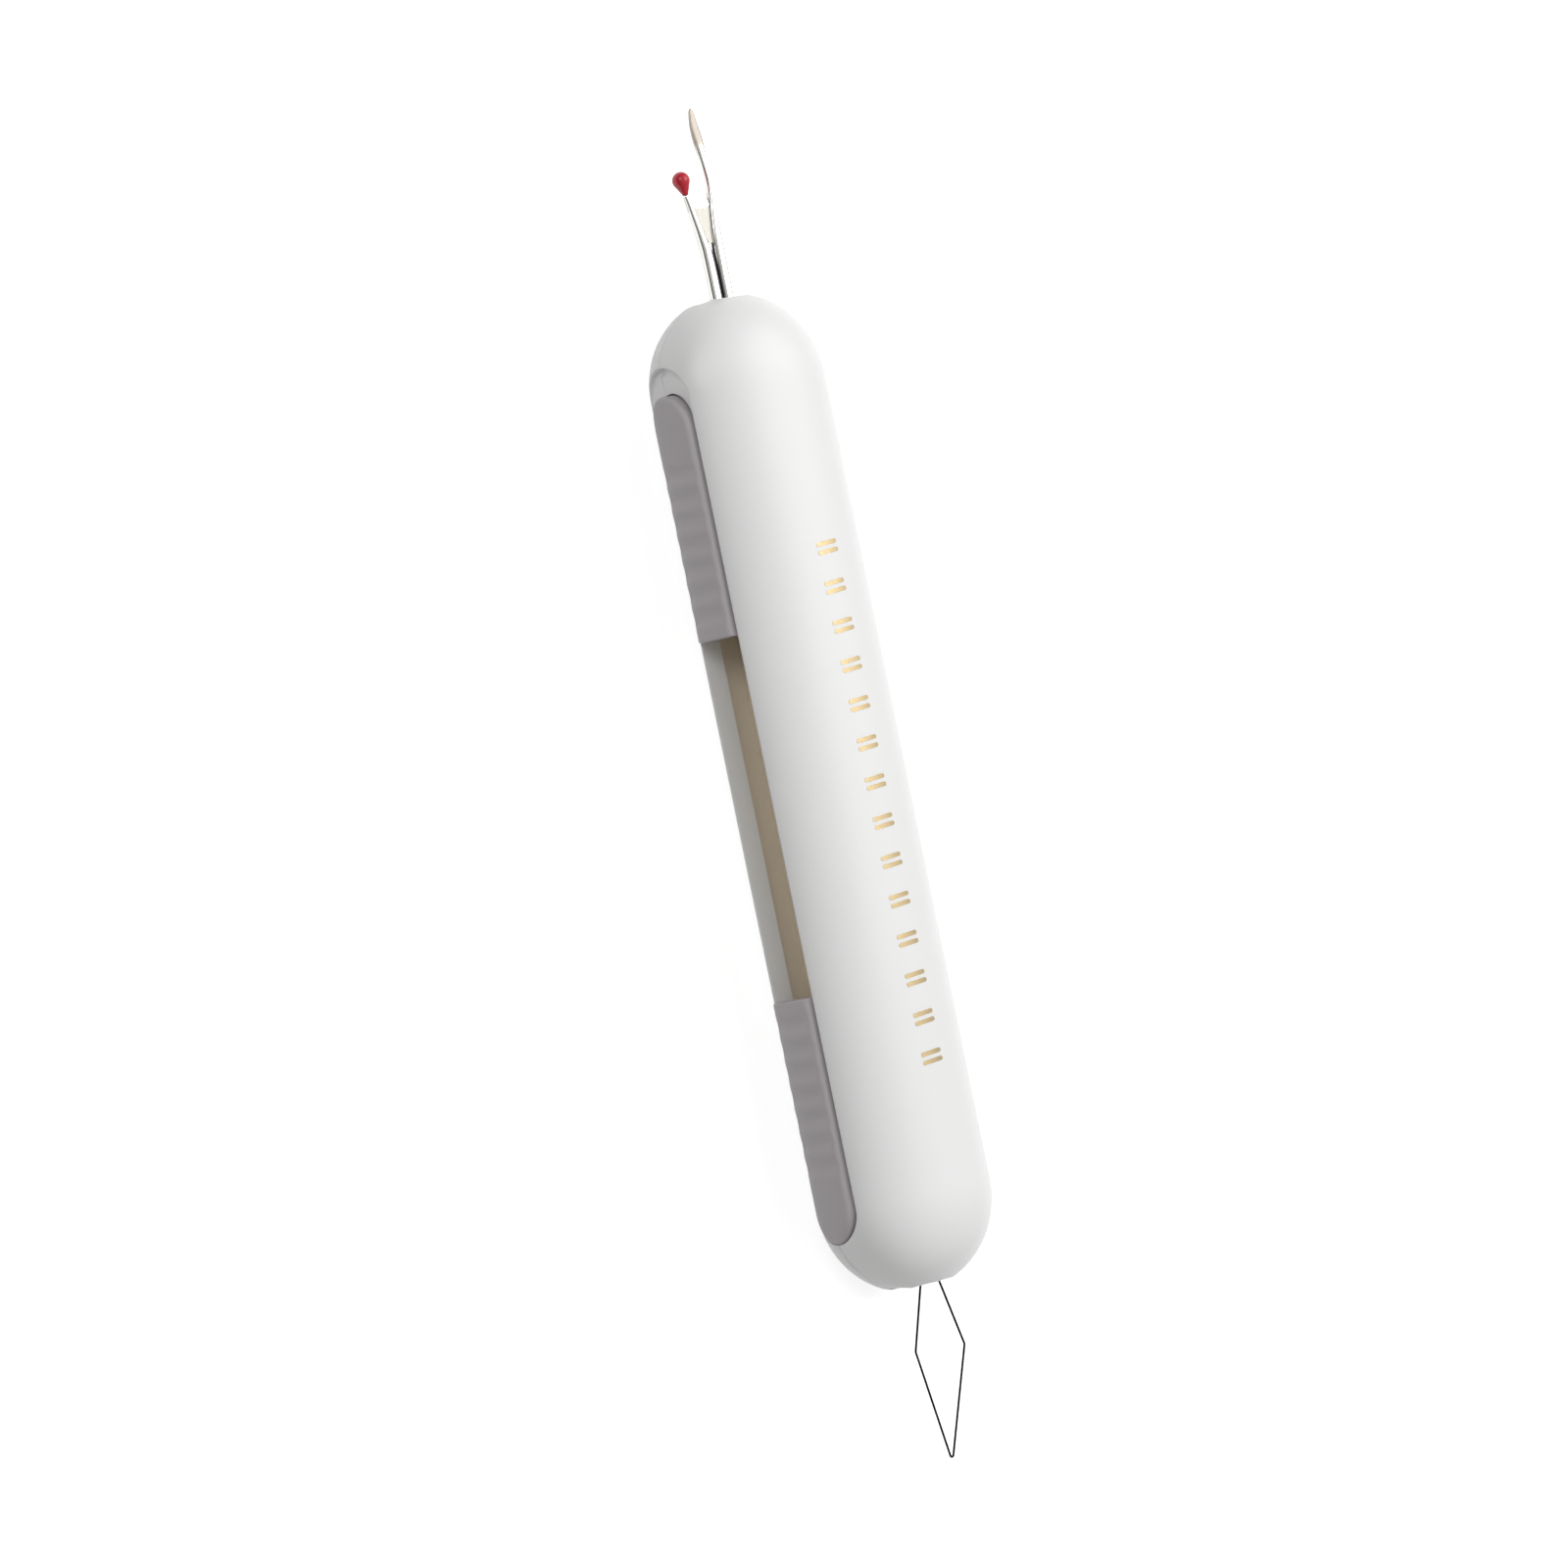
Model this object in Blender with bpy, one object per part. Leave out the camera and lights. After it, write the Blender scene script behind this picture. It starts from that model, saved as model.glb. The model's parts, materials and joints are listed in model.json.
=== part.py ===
"""Retractable needle threader with a seam ripper at its other end.

The tool lies on its back. +Z is up through its thickness, +Y runs along the body towards the
ripper, and the two slide buttons sit in the slot on the -X side. The origin is the middle of the
flat land that the back shell rests on. A height called h is measured from the parting plane
between the shells, up into the front shell.
"""

import math

import bmesh
import bpy
from mathutils import Vector

MM = 0.001

# Fits
CLEARANCE = 0.3 * MM  # between pieces that slide on, seat on or face each other
SMALL_CLEARANCE = 0.1 * MM  # round the wire in its sleeve and the prong in its ball
PARTING_GAP = 0.2 * MM  # between the rims of the two shells

# Body: a flat oval section, straight along Y, turned round at both ends
BODY_LENGTH = 104.0 * MM
BODY_WIDTH = 19.6 * MM
BODY_THICKNESS = 13.0 * MM
SECTION_POWER = 2.2  # 2 is an ellipse, more is fuller at the corners
WALL = 1.65 * MM
LAND_DEPTH = 0.1 * MM  # how far the resting land is cut into the oval of the back
LIP_THICKNESS = 0.7 * MM
LIP_DEPTH = 0.8 * MM

# Slot along the -X side, and the mouths in the two ends
SLOT_WIDTH = 6.6 * MM
SLOT_END_MARGIN = 6.55 * MM  # from the end of the slot to the end of the body
RECESS_DEPTH = 0.9 * MM  # of the shallow end of the slot, beyond the ripper button
MOUTH_HEIGHT = 3.0 * MM
RIPPER_MOUTH_WIDTH = 7.4 * MM
THREADER_MOUTH_WIDTH = 8.4 * MM

# Slide buttons
BUTTON_LENGTH = 25.2 * MM
BUTTON_PROUD = 0.15 * MM  # how far the crown stands out of the body's own outline
BUTTON_ROUND_END = 3.6 * MM
BUTTON_EDGE = 0.8 * MM
BUTTON_END_CHAMFER = 0.25 * MM
RIPPER_BUTTON_END_GAP = 3.0 * MM  # from the round end of the button to the end of the recess
THREADER_BUTTON_END_GAP = 0.2 * MM  # from the round end of the button to the end of the slot
PEG_SHARES = (0.25, 0.75)  # where its pegs stand along the straight part of a button
RIB_PITCH = 2.45 * MM
RIB_DEPTH = 0.2 * MM
RIB_GROOVES = 7
FIRST_RIB = 1.2 * MM  # from the flat end to the first crest

# Carriages inside the body
CARRIAGE_HEIGHT = 5.2 * MM
CARRIAGE_FROM_WALL = 2.95 * MM  # from the inside of the side wall to the carriage
CARRIAGE_RIGHT = 3.2 * MM
CARRIAGE_SETBACK = 0.9 * MM  # from the flat end of the button to the end of its carriage
CARRIAGE_CHAMFER = 0.2 * MM
RIPPER_CARRIAGE_LENGTH = 25.0 * MM
THREADER_CARRIAGE_LENGTH = 24.1 * MM
NECK_LENGTH = 1.8 * MM  # how far the neck stands out towards the button
NECK_HEIGHT = 4.6 * MM
PEG_RADIUS = 1.2 * MM  # the pegs that hold the button on the neck
PEG_LENGTH = 1.6 * MM

# Guides and stops moulded in the shells
GUIDE_WIDTH = 1.0 * MM
GUIDE_FROM_CARRIAGE_EDGE = 2.25 * MM  # to the middle of the guide rib
GUIDE_TIP = 1.6 * MM  # height of the rib tip from the parting plane
REST_RIB_X = 1.1 * MM
GUIDE_END_MARGIN = 5.0 * MM
STOP_WIDTH = 4.4 * MM
STOP_THICKNESS = 1.0 * MM
STOP_TIP = 1.3 * MM
LOCATING_PEGS = 5
LOCATING_PEG_END_GAP = 2.2 * MM  # from the last peg to where the round end begins
LOCATING_PEG_RADIUS = 0.7 * MM
LOCATING_PEG_LENGTH = 1.8 * MM
LOCATING_BOSS_RADIUS = 1.25 * MM

# Detent leaf springs and the rail that they bear on
SPRING_LENGTH = 10.4 * MM
SPRING_WIDTH = 2.0 * MM
SPRING_THICKNESS = 0.25 * MM
SPRING_CROWN = 1.2 * MM  # how far the crown stands out of the carriage
SPRING_POCKET_DEPTH = 0.5 * MM
RAIL_THICKNESS = 0.9 * MM
RAIL_TIP = 1.0 * MM
NOTCH_RADIUS = 1.2 * MM
NOTCH_DEPTH = 0.4 * MM

# Seam ripper, measured from the end of the body where it leaves it
RIPPER_OUT = 19.1 * MM
RIPPER_X = 0.24 * MM
STEM_WIDTH = 2.72 * MM
STEM_THICKNESS = 1.1 * MM
STEM_INSIDE = 7.5 * MM  # how far the round stem reaches into the body
WEB_START = 5.4 * MM  # where the groove of the stem ends and the flat web begins
WEB_EDGE = 9.9 * MM  # the sharp edge between the prongs
WEB_BEVEL = 0.8 * MM
WEB_HOLLOW = 0.5 * MM  # how far the middle of the sharp edge curves back
WEB_LEFT = -1.6 * MM
WEB_RIGHT = 1.0 * MM
WEB_FOOT_WIDTH = 0.6 * MM
WEB_THICKNESS = 0.4 * MM
WEB_EDGE_THICKNESS = 0.13 * MM
TANG_WIDTH = 2.6 * MM
TANG_THICKNESS = 0.7 * MM
TANG_IN_CARRIAGE = 11.7 * MM
TANG_HOLE_RADIUS = 1.0 * MM
PRONG_TIP_RADIUS = 0.18 * MM  # where the short prong ends in the ball
BALL_RADIUS = 0.92 * MM
BALL_X = -2.05 * MM  # from the middle of the stem
BALL_OUT = 12.12 * MM
BALL_TAIL = 1.5 * MM  # from the middle of the ball down to its tail
BALL_TAIL_RADIUS = 0.42 * MM
BALL_LEAN = math.radians(8.0)

# Needle threader, measured from the end of the body where it leaves it
LOOP_OUT = 17.4 * MM
LOOP_WIDTH = 6.2 * MM
LOOP_CORNER_OUT = 6.2 * MM
LOOP_X = 1.1 * MM
LOOP_CORNER_SHIFT = -0.5 * MM  # the wire loop is bent a little to one side
LOOP_TIP_SHIFT = -1.85 * MM
LOOP_CORNER_RADIUS = 0.6 * MM
LOOP_TIP_RADIUS = 0.35 * MM
WIRE_RADIUS = 0.14 * MM
WIRE_SPACING = 1.1 * MM  # between the two legs in the ferrule
FERRULE_WALL = 0.35 * MM
FERRULE_LENGTH = 8.7 * MM
FERRULE_IN_CARRIAGE = 4.8 * MM
WIRE_IN_FERRULE = 8.0 * MM

# Travel
RETRACTED_INSET = 0.3 * MM  # how far inside the mouth each tip stops
RIPPER_TRAVEL = RIPPER_OUT + RETRACTED_INSET
THREADER_TRAVEL = LOOP_OUT + RETRACTED_INSET

# Smoothness
CAP_SEGMENTS = 24
SECTION_SEGMENTS = 11
TINY = 0.001 * MM

# Worked out from the sizes above
HALF_LENGTH = BODY_LENGTH / 2
HALF_WIDTH = BODY_WIDTH / 2
HALF_THICKNESS = BODY_THICKNESS / 2
INNER_HALF_WIDTH = HALF_WIDTH - WALL
INNER_HALF_THICKNESS = HALF_THICKNESS - WALL
CAP_CENTRE = HALF_LENGTH - HALF_WIDTH
PARTING_Z = HALF_THICKNESS - LAND_DEPTH
SLOT_END = HALF_LENGTH - SLOT_END_MARGIN
RIPPER_SLOT_END = SLOT_END - RIPPER_BUTTON_END_GAP + CLEARANCE
BUTTON_HALF_WIDTH = SLOT_WIDTH / 2 - CLEARANCE
CARRIAGE_LEFT = CARRIAGE_FROM_WALL - INNER_HALF_WIDTH
NECK_FACE = CARRIAGE_LEFT - NECK_LENGTH
BUTTON_BACK = NECK_FACE - CLEARANCE
GUIDE_X = CARRIAGE_LEFT + GUIDE_FROM_CARRIAGE_EDGE
RAIL_X = CARRIAGE_RIGHT + SPRING_CROWN + CLEARANCE


def ripper_button_flat():
    return SLOT_END - RIPPER_BUTTON_END_GAP - BUTTON_LENGTH


def threader_button_flat():
    return -(SLOT_END - THREADER_BUTTON_END_GAP - BUTTON_LENGTH)


# ---------------------------------------------------------------- scene and materials


def clear_scene():
    for obj in list(bpy.data.objects):
        bpy.data.objects.remove(obj, do_unlink=True)


def linear(srgb_hex):
    values = [int(srgb_hex[i : i + 2], 16) / 255 for i in (1, 3, 5)]
    return [v / 12.92 if v <= 0.04045 else ((v + 0.055) / 1.055) ** 2.4 for v in values]


def material(name, srgb_hex, roughness, metallic=0.0):
    found = bpy.data.materials.new(name)
    found.use_nodes = True
    shader = found.node_tree.nodes["Principled BSDF"]
    shader.inputs["Base Color"].default_value = (*linear(srgb_hex), 1.0)
    shader.inputs["Roughness"].default_value = roughness
    shader.inputs["Metallic"].default_value = metallic
    return found


def slide_frame(name):
    """The empty that carries one sliding group, on the line it slides along."""
    frame = bpy.data.objects.new(name, None)
    frame.location = (0.0, 0.0, PARTING_Z)
    bpy.context.scene.collection.objects.link(frame)
    return frame


# ---------------------------------------------------------------- making solids


def at(x, y, h):
    return Vector((x, y, PARTING_Z + h))


def new_object(name, builder):
    """Links a new object whose mesh is what builder(bm) makes, with its faces turned outwards."""
    bm = bmesh.new()
    builder(bm)
    bmesh.ops.remove_doubles(bm, verts=bm.verts, dist=TINY)
    bmesh.ops.recalc_face_normals(bm, faces=bm.faces)
    mesh = bpy.data.meshes.new(name)
    bm.to_mesh(mesh)
    bm.free()
    obj = bpy.data.objects.new(name, mesh)
    bpy.context.scene.collection.objects.link(obj)
    return obj


def skin(name, rings, closed_rings=True, closed_run=False, capped=True):
    """A solid from a run of rings that hold the same number of points."""

    def build(bm):
        rows = [[bm.verts.new(point) for point in ring] for ring in rings]
        count = len(rows[0])
        steps = count if closed_rings else count - 1
        runs = len(rows) if closed_run else len(rows) - 1
        for i in range(runs):
            row, after = rows[i], rows[(i + 1) % len(rows)]
            for j in range(steps):
                k = (j + 1) % count
                bm.faces.new((row[j], row[k], after[k], after[j]))
        if capped:
            bm.faces.new(rows[0])
            bm.faces.new(rows[-1])

    return new_object(name, build)


def prism_along_y(name, outline, y0, y1):
    """outline is a list of (x, h)."""
    return skin(name, [[at(x, y, h) for x, h in outline] for y in (y0, y1)])


def prism_along_x(name, outline, x0, x1):
    """outline is a list of (y, h)."""
    return skin(name, [[at(x, y, h) for y, h in outline] for x in (x0, x1)])


def box(name, xs, ys, hs):
    outline = [(xs[0], hs[0]), (xs[1], hs[0]), (xs[1], hs[1]), (xs[0], hs[1])]
    return prism_along_y(name, outline, ys[0], ys[1])


def circle(radius, count, turn=0.0):
    angles = [turn + math.tau * i / count for i in range(count)]
    return [(radius * math.cos(a), radius * math.sin(a)) for a in angles]


def cylinder_along_z(name, x, y, radius, h0, h1, count=16):
    ring = circle(radius, count)
    return skin(name, [[at(x + u, y + v, h) for u, v in ring] for h in (h0, h1)])


def cylinder_along_x(name, y, radius, x0, x1, count=16):
    return prism_along_x(name, [(y + u, v) for u, v in circle(radius, count)], x0, x1)


def stadium(half_length, half_width, count=10):
    """A straight-sided outline with half-round ends, as (along, across)."""
    straight = half_length - half_width
    points = []
    for sign in (1, -1):
        for i in range(count + 1):
            a = math.pi * i / count - math.pi / 2
            along = straight + half_width * math.cos(a)
            points.append((sign * along, sign * half_width * math.sin(a)))
    return points


def hide(helper):
    helper.hide_render = True
    helper.display_type = "WIRE"
    return helper


def boolean(target, tool, operation):
    """Adds one exact Boolean. The tool stays as a hidden wire helper."""
    hide(tool)
    modifier = target.modifiers.new(tool.name, "BOOLEAN")
    modifier.operation = operation
    modifier.solver = "EXACT"
    modifier.object = tool


def cut(target, tool):
    boolean(target, tool, "DIFFERENCE")


def join(target, tool):
    boolean(target, tool, "UNION")


def finish(obj, surface, frame=None, smooth_angle=35):
    """Gives a node its material, its shading and the empty that it slides with."""
    obj.data.materials.append(surface)
    obj.data.shade_smooth()
    obj.data.set_sharp_from_angle(angle=math.radians(smooth_angle))
    if frame is not None:
        obj.parent = frame
        obj.matrix_parent_inverse.translation = -frame.location
    return obj


# ---------------------------------------------------------------- the oval section


def oval_height(r, half_width, half_thickness):
    share = min(1.0, abs(r) / half_width)
    return half_thickness * (1 - share**SECTION_POWER) ** (1 / SECTION_POWER)


def oval_reach(h, half_width, half_thickness):
    """How far the section reaches sideways at height h."""
    return oval_height(h, half_thickness, half_width)


def oval_arc(half_width, half_thickness, from_h=0.0, to_h=None):
    """Points (r, h) of a quarter of the section, from the rim at from_h up to the crown."""
    top = half_thickness if to_h is None else to_h
    low = math.asin((from_h / half_thickness) ** (SECTION_POWER / 2))
    high = math.asin((top / half_thickness) ** (SECTION_POWER / 2))
    points = []
    for i in range(SECTION_SEGMENTS + 1):
        a = low + (high - low) * i / SECTION_SEGMENTS
        h = half_thickness * math.sin(a) ** (2 / SECTION_POWER)
        points.append((oval_reach(h, half_width, half_thickness), h))
    if to_h is None:
        points[-1] = (0.0, half_thickness)
    else:
        points.append((0.0, top))
    return points


def oval_solid(name, profile, cap_centre, side=1):
    """Sweeps a profile (r, h), whose two ends lie on the middle line, round the whole oval."""
    rings = []
    for sign, start in ((1, 0.0), (-1, math.pi)):
        for i in range(CAP_SEGMENTS + 1):
            a = start + math.pi * i / CAP_SEGMENTS
            rings.append(
                [
                    at(r * math.cos(a), sign * cap_centre + r * math.sin(a), side * h)
                    for r, h in profile
                ]
            )
    return skin(name, rings, closed_rings=False, closed_run=True, capped=False)


# ---------------------------------------------------------------- shells


def front_profile():
    outer = oval_arc(HALF_WIDTH, HALF_THICKNESS, from_h=PARTING_GAP / 2)
    inner = oval_arc(INNER_HALF_WIDTH, INNER_HALF_THICKNESS)
    lip = INNER_HALF_WIDTH + LIP_THICKNESS
    rim = [(lip, PARTING_GAP / 2), (lip, -LIP_DEPTH), (INNER_HALF_WIDTH, -LIP_DEPTH)]
    return outer[::-1] + rim + inner


def back_profile():
    land = HALF_THICKNESS - LAND_DEPTH
    rebate = LIP_DEPTH + CLEARANCE
    outer = oval_arc(HALF_WIDTH, HALF_THICKNESS, from_h=PARTING_GAP / 2, to_h=land)
    inner = oval_arc(INNER_HALF_WIDTH, INNER_HALF_THICKNESS, from_h=rebate)
    lip = INNER_HALF_WIDTH + LIP_THICKNESS + CLEARANCE
    return outer[::-1] + [(lip, PARTING_GAP / 2), (lip, rebate)] + inner


def inset_core(name, depth):
    """The solid inside the body that keeps a given depth below its surface."""
    upper = oval_arc(HALF_WIDTH - depth, HALF_THICKNESS - depth)
    lower = [(r, -h) for r, h in upper]
    return hide(oval_solid(name, upper[::-1] + lower[1:], CAP_CENTRE))


def add_inside(shell, tool, core):
    """Joins a rib, a boss or a rail to a shell, with its root trimmed to the wall."""
    boolean(tool, core, "INTERSECT")
    join(shell, tool)


def cut_openings(shell, label):
    half_slot = SLOT_WIDTH / 2
    outside = -HALF_WIDTH - WALL
    inside = -oval_reach(half_slot, INNER_HALF_WIDTH, INNER_HALF_THICKNESS) + 2 * CLEARANCE
    middle = (RIPPER_SLOT_END - SLOT_END) / 2
    half_length = (RIPPER_SLOT_END + SLOT_END) / 2
    outline = [(middle + y, h) for y, h in stadium(half_length, half_slot)]
    cut(shell, prism_along_x(f"{label}_slot_cutter", outline, outside, inside))
    middle = SLOT_END - RIPPER_BUTTON_END_GAP - half_slot
    outline = [(middle + y, h) for y, h in stadium(SLOT_END - middle, half_slot)]
    recess = prism_along_x(f"{label}_recess_cutter", outline, outside, inside)
    cut(recess, inset_core(f"{label}_recess_floor", RECESS_DEPTH))
    cut(shell, recess)
    mouths = (("ripper", 1, RIPPER_MOUTH_WIDTH), ("threader", -1, THREADER_MOUTH_WIDTH))
    for end, sign, width in mouths:
        outline = stadium(width / 2, MOUTH_HEIGHT / 2, 8)
        inside = sign * (HALF_LENGTH - 2 * WALL)
        outside = sign * (HALF_LENGTH + WALL)
        cut(shell, prism_along_y(f"{label}_{end}_mouth_cutter", outline, inside, outside))


def add_guides(shell, label, side, core):
    """The rib in the carriage's groove, and the lower rib that the carriage rests on."""
    reach = HALF_LENGTH - GUIDE_END_MARGIN
    rest_tip = CARRIAGE_HEIGHT / 2 + CLEARANCE
    for name, x, tip in (("guide", GUIDE_X, GUIDE_TIP), ("rest", REST_RIB_X, rest_tip)):
        xs = (x - GUIDE_WIDTH / 2, x + GUIDE_WIDTH / 2)
        hs = (side * tip, side * HALF_THICKNESS)
        rib = box(f"{label}_{name}_rib", xs, (-reach, reach), hs)
        add_inside(shell, rib, core)


def locating_peg_places():
    x = INNER_HALF_WIDTH - CLEARANCE - LOCATING_BOSS_RADIUS
    reach = CAP_CENTRE - LOCATING_PEG_END_GAP
    pitch = 2 * reach / (LOCATING_PEGS - 1)
    return [(x, i * pitch - reach) for i in range(LOCATING_PEGS)]


def front_shell(surface):
    shell = oval_solid("front_shell", front_profile(), CAP_CENTRE)
    core = inset_core("front_core", WALL / 2)
    cut_openings(shell, "front")
    add_guides(shell, "front", 1, core)
    shoulder = RAIL_TIP + CLEARANCE
    for i, (x, y) in enumerate(locating_peg_places()):
        name = f"front_boss_{i + 1}"
        boss = cylinder_along_z(name, x, y, LOCATING_BOSS_RADIUS, shoulder, HALF_THICKNESS)
        add_inside(shell, boss, core)
        name = f"front_peg_{i + 1}"
        peg = cylinder_along_z(
            name, x, y, LOCATING_PEG_RADIUS, -LOCATING_PEG_LENGTH, 2 * shoulder, 12
        )
        join(shell, peg)
    return finish(shell, surface)


def spring_middles():
    """Where the crowns of the two detent springs lie along the body."""
    ripper = ripper_button_flat() + CARRIAGE_SETBACK + RIPPER_CARRIAGE_LENGTH / 2
    threader = threader_button_flat() - CARRIAGE_SETBACK - THREADER_CARRIAGE_LENGTH / 2
    return ripper, threader


def stop_places():
    """Middles of the two end stops and of the centre stop, along the body."""
    beyond = CLEARANCE + STOP_THICKNESS / 2
    ripper_in = ripper_button_flat() + CARRIAGE_SETBACK
    threader_in = threader_button_flat() - CARRIAGE_SETBACK
    ripper_stop = ripper_in + RIPPER_CARRIAGE_LENGTH + beyond
    threader_stop = threader_in - THREADER_CARRIAGE_LENGTH - beyond
    centre = (ripper_in - RIPPER_TRAVEL + threader_in + THREADER_TRAVEL) / 2
    return ripper_stop, centre, threader_stop


def back_shell(surface):
    shell = oval_solid("back_shell", back_profile(), CAP_CENTRE, side=-1)
    core = inset_core("back_core", WALL / 2)
    cut_openings(shell, "back")
    add_guides(shell, "back", -1, core)
    for i, y in enumerate(stop_places()):
        xs = (REST_RIB_X - STOP_WIDTH / 2, REST_RIB_X + STOP_WIDTH / 2)
        ys = (y - STOP_THICKNESS / 2, y + STOP_THICKNESS / 2)
        stop = box(f"back_stop_{i + 1}", xs, ys, (-HALF_THICKNESS, -STOP_TIP))
        add_inside(shell, stop, core)
    reach = CAP_CENTRE + CLEARANCE
    xs = (RAIL_X, RAIL_X + RAIL_THICKNESS)
    rail = box("back_detent_rail", xs, (-reach, reach), (-HALF_THICKNESS, RAIL_TIP))
    add_inside(shell, rail, core)
    ripper, threader = spring_middles()
    notch_places = (ripper, ripper - RIPPER_TRAVEL, threader, threader + THREADER_TRAVEL)
    for i, y in enumerate(notch_places):
        x = RAIL_X + NOTCH_DEPTH - NOTCH_RADIUS
        low = -SPRING_WIDTH / 2 - CLEARANCE
        high = RAIL_TIP + CLEARANCE
        cut(shell, cylinder_along_z(f"back_notch_{i + 1}", x, y, NOTCH_RADIUS, low, high))
    for i, (x, y) in enumerate(locating_peg_places()):
        boss = cylinder_along_z(
            f"back_boss_{i + 1}", x, y, LOCATING_BOSS_RADIUS, -HALF_THICKNESS, -PARTING_GAP / 2
        )
        add_inside(shell, boss, core)
        socket = cylinder_along_z(
            f"back_socket_{i + 1}",
            x,
            y,
            LOCATING_PEG_RADIUS + CLEARANCE,
            -LOCATING_PEG_LENGTH - CLEARANCE,
            WALL,
        )
        cut(shell, socket)
    return finish(shell, surface)


# ---------------------------------------------------------------- slide buttons


def body_side_x(h, y):
    """How far the body's own surface lies from the middle at height h and place y."""
    reach = oval_reach(h, HALF_WIDTH, HALF_THICKNESS)
    past = max(0.0, abs(y) - CAP_CENTRE)
    return math.sqrt(max(reach * reach - past * past, 0.0))


def rib_drop(s):
    """Depth of the finger ribs at distance s from the flat end: round waves between crests."""
    phase = (s - FIRST_RIB) / RIB_PITCH
    if not 0 < phase < RIB_GROOVES:
        return 0.0
    return RIB_DEPTH * (1 - math.cos(math.tau * phase)) / 2


def edge_drop(h, s):
    """The rounding of the button's long edges and of its round end."""
    past = max(0.0, s - (BUTTON_LENGTH - BUTTON_ROUND_END)) / BUTTON_ROUND_END
    inward = BUTTON_HALF_WIDTH * (1 - math.hypot(h / BUTTON_HALF_WIDTH, past))
    short = max(0.0, BUTTON_EDGE - max(0.0, inward))
    return BUTTON_EDGE - math.sqrt(BUTTON_EDGE**2 - short**2)


def button_stations():
    """(distance from the flat end, half width, extra drop) of each section of a button."""
    stations = [(0.0, BUTTON_HALF_WIDTH, BUTTON_END_CHAMFER)]
    stations.append((BUTTON_END_CHAMFER, BUTTON_HALF_WIDTH, 0.0))
    for i in range(4 * RIB_GROOVES + 1):
        stations.append((FIRST_RIB + i * RIB_PITCH / 4, BUTTON_HALF_WIDTH, 0.0))
    straight = BUTTON_LENGTH - BUTTON_ROUND_END
    for degrees in (0, 20, 38, 53, 66, 76, 84):
        a = math.radians(degrees)
        s = straight + BUTTON_ROUND_END * math.sin(a)
        stations.append((s, BUTTON_HALF_WIDTH * math.cos(a), 0.0))
    return stations


def slide_button(name, flat_y, direction, peg_places, surface, frame):
    rings = []
    for s, half, extra in button_stations():
        y = flat_y + direction * s
        ring = []
        for share in (-1, -0.93, -0.75, -0.4, 0, 0.4, 0.75, 0.93, 1):
            h = half * share
            crown = body_side_x(h, y) + BUTTON_PROUD
            ring.append(at(-crown + edge_drop(h, s) + rib_drop(s) + extra, y, h))
        ring += [at(BUTTON_BACK, y, half), at(BUTTON_BACK, y, -half)]
        rings.append(ring)
    button = skin(name, rings)
    for i, y in enumerate(peg_places):
        depth = NECK_FACE - PEG_LENGTH - CLEARANCE
        socket = cylinder_along_x(
            f"{name}_socket_{i + 1}", y, PEG_RADIUS + CLEARANCE, depth, CARRIAGE_LEFT
        )
        cut(button, socket)
    return finish(button, surface, frame)


# ---------------------------------------------------------------- carriages and springs


def carriage_outline():
    """The block's section with a groove for the guide rib above and below, as (x, h)."""
    top = CARRIAGE_HEIGHT / 2
    floor = GUIDE_TIP - CLEARANCE
    near = GUIDE_X - GUIDE_WIDTH / 2 - CLEARANCE
    far = GUIDE_X + GUIDE_WIDTH / 2 + CLEARANCE
    upper = [
        (CARRIAGE_RIGHT, top),
        (far, top),
        (far, floor),
        (near, floor),
        (near, top),
        (CARRIAGE_LEFT, top),
    ]
    return upper + [(x, -h) for x, h in reversed(upper)]


def peg_places(flat_y, direction):
    straight = BUTTON_LENGTH - BUTTON_ROUND_END
    return [flat_y + direction * straight * share for share in PEG_SHARES]


def carriage(name, flat_y, direction, length, spring_y):
    """The block with its neck, its pegs and the pocket of its spring, and where its end lies."""
    inner = flat_y + direction * CARRIAGE_SETBACK
    outer = inner + direction * length
    block = prism_along_y(name, carriage_outline(), inner, outer)
    bevel = block.modifiers.new("soft edges", "BEVEL")
    bevel.width = CARRIAGE_CHAMFER
    bevel.segments = 1
    bevel.limit_method = "ANGLE"
    neck_end = flat_y + direction * (BUTTON_LENGTH - BUTTON_ROUND_END)
    half_neck = NECK_HEIGHT / 2
    xs = (NECK_FACE, CARRIAGE_LEFT + CARRIAGE_CHAMFER * 2)
    ys = (inner + direction * CARRIAGE_CHAMFER * 2, neck_end)
    join(block, box(f"{name}_neck", xs, ys, (-half_neck, half_neck)))
    for i, y in enumerate(peg_places(flat_y, direction)):
        x1 = NECK_FACE + PEG_LENGTH / 2
        peg = cylinder_along_x(f"{name}_peg_{i + 1}", y, PEG_RADIUS, NECK_FACE - PEG_LENGTH, x1)
        join(block, peg)
    xs = (CARRIAGE_RIGHT - SPRING_POCKET_DEPTH, CARRIAGE_RIGHT + SPRING_CROWN)
    reach = SPRING_LENGTH / 2 + CLEARANCE
    half = SPRING_WIDTH / 2 + CLEARANCE
    ys = (spring_y - reach, spring_y + reach)
    cut(block, box(f"{name}_spring_pocket", xs, ys, (-half, half)))
    return block, outer


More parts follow.
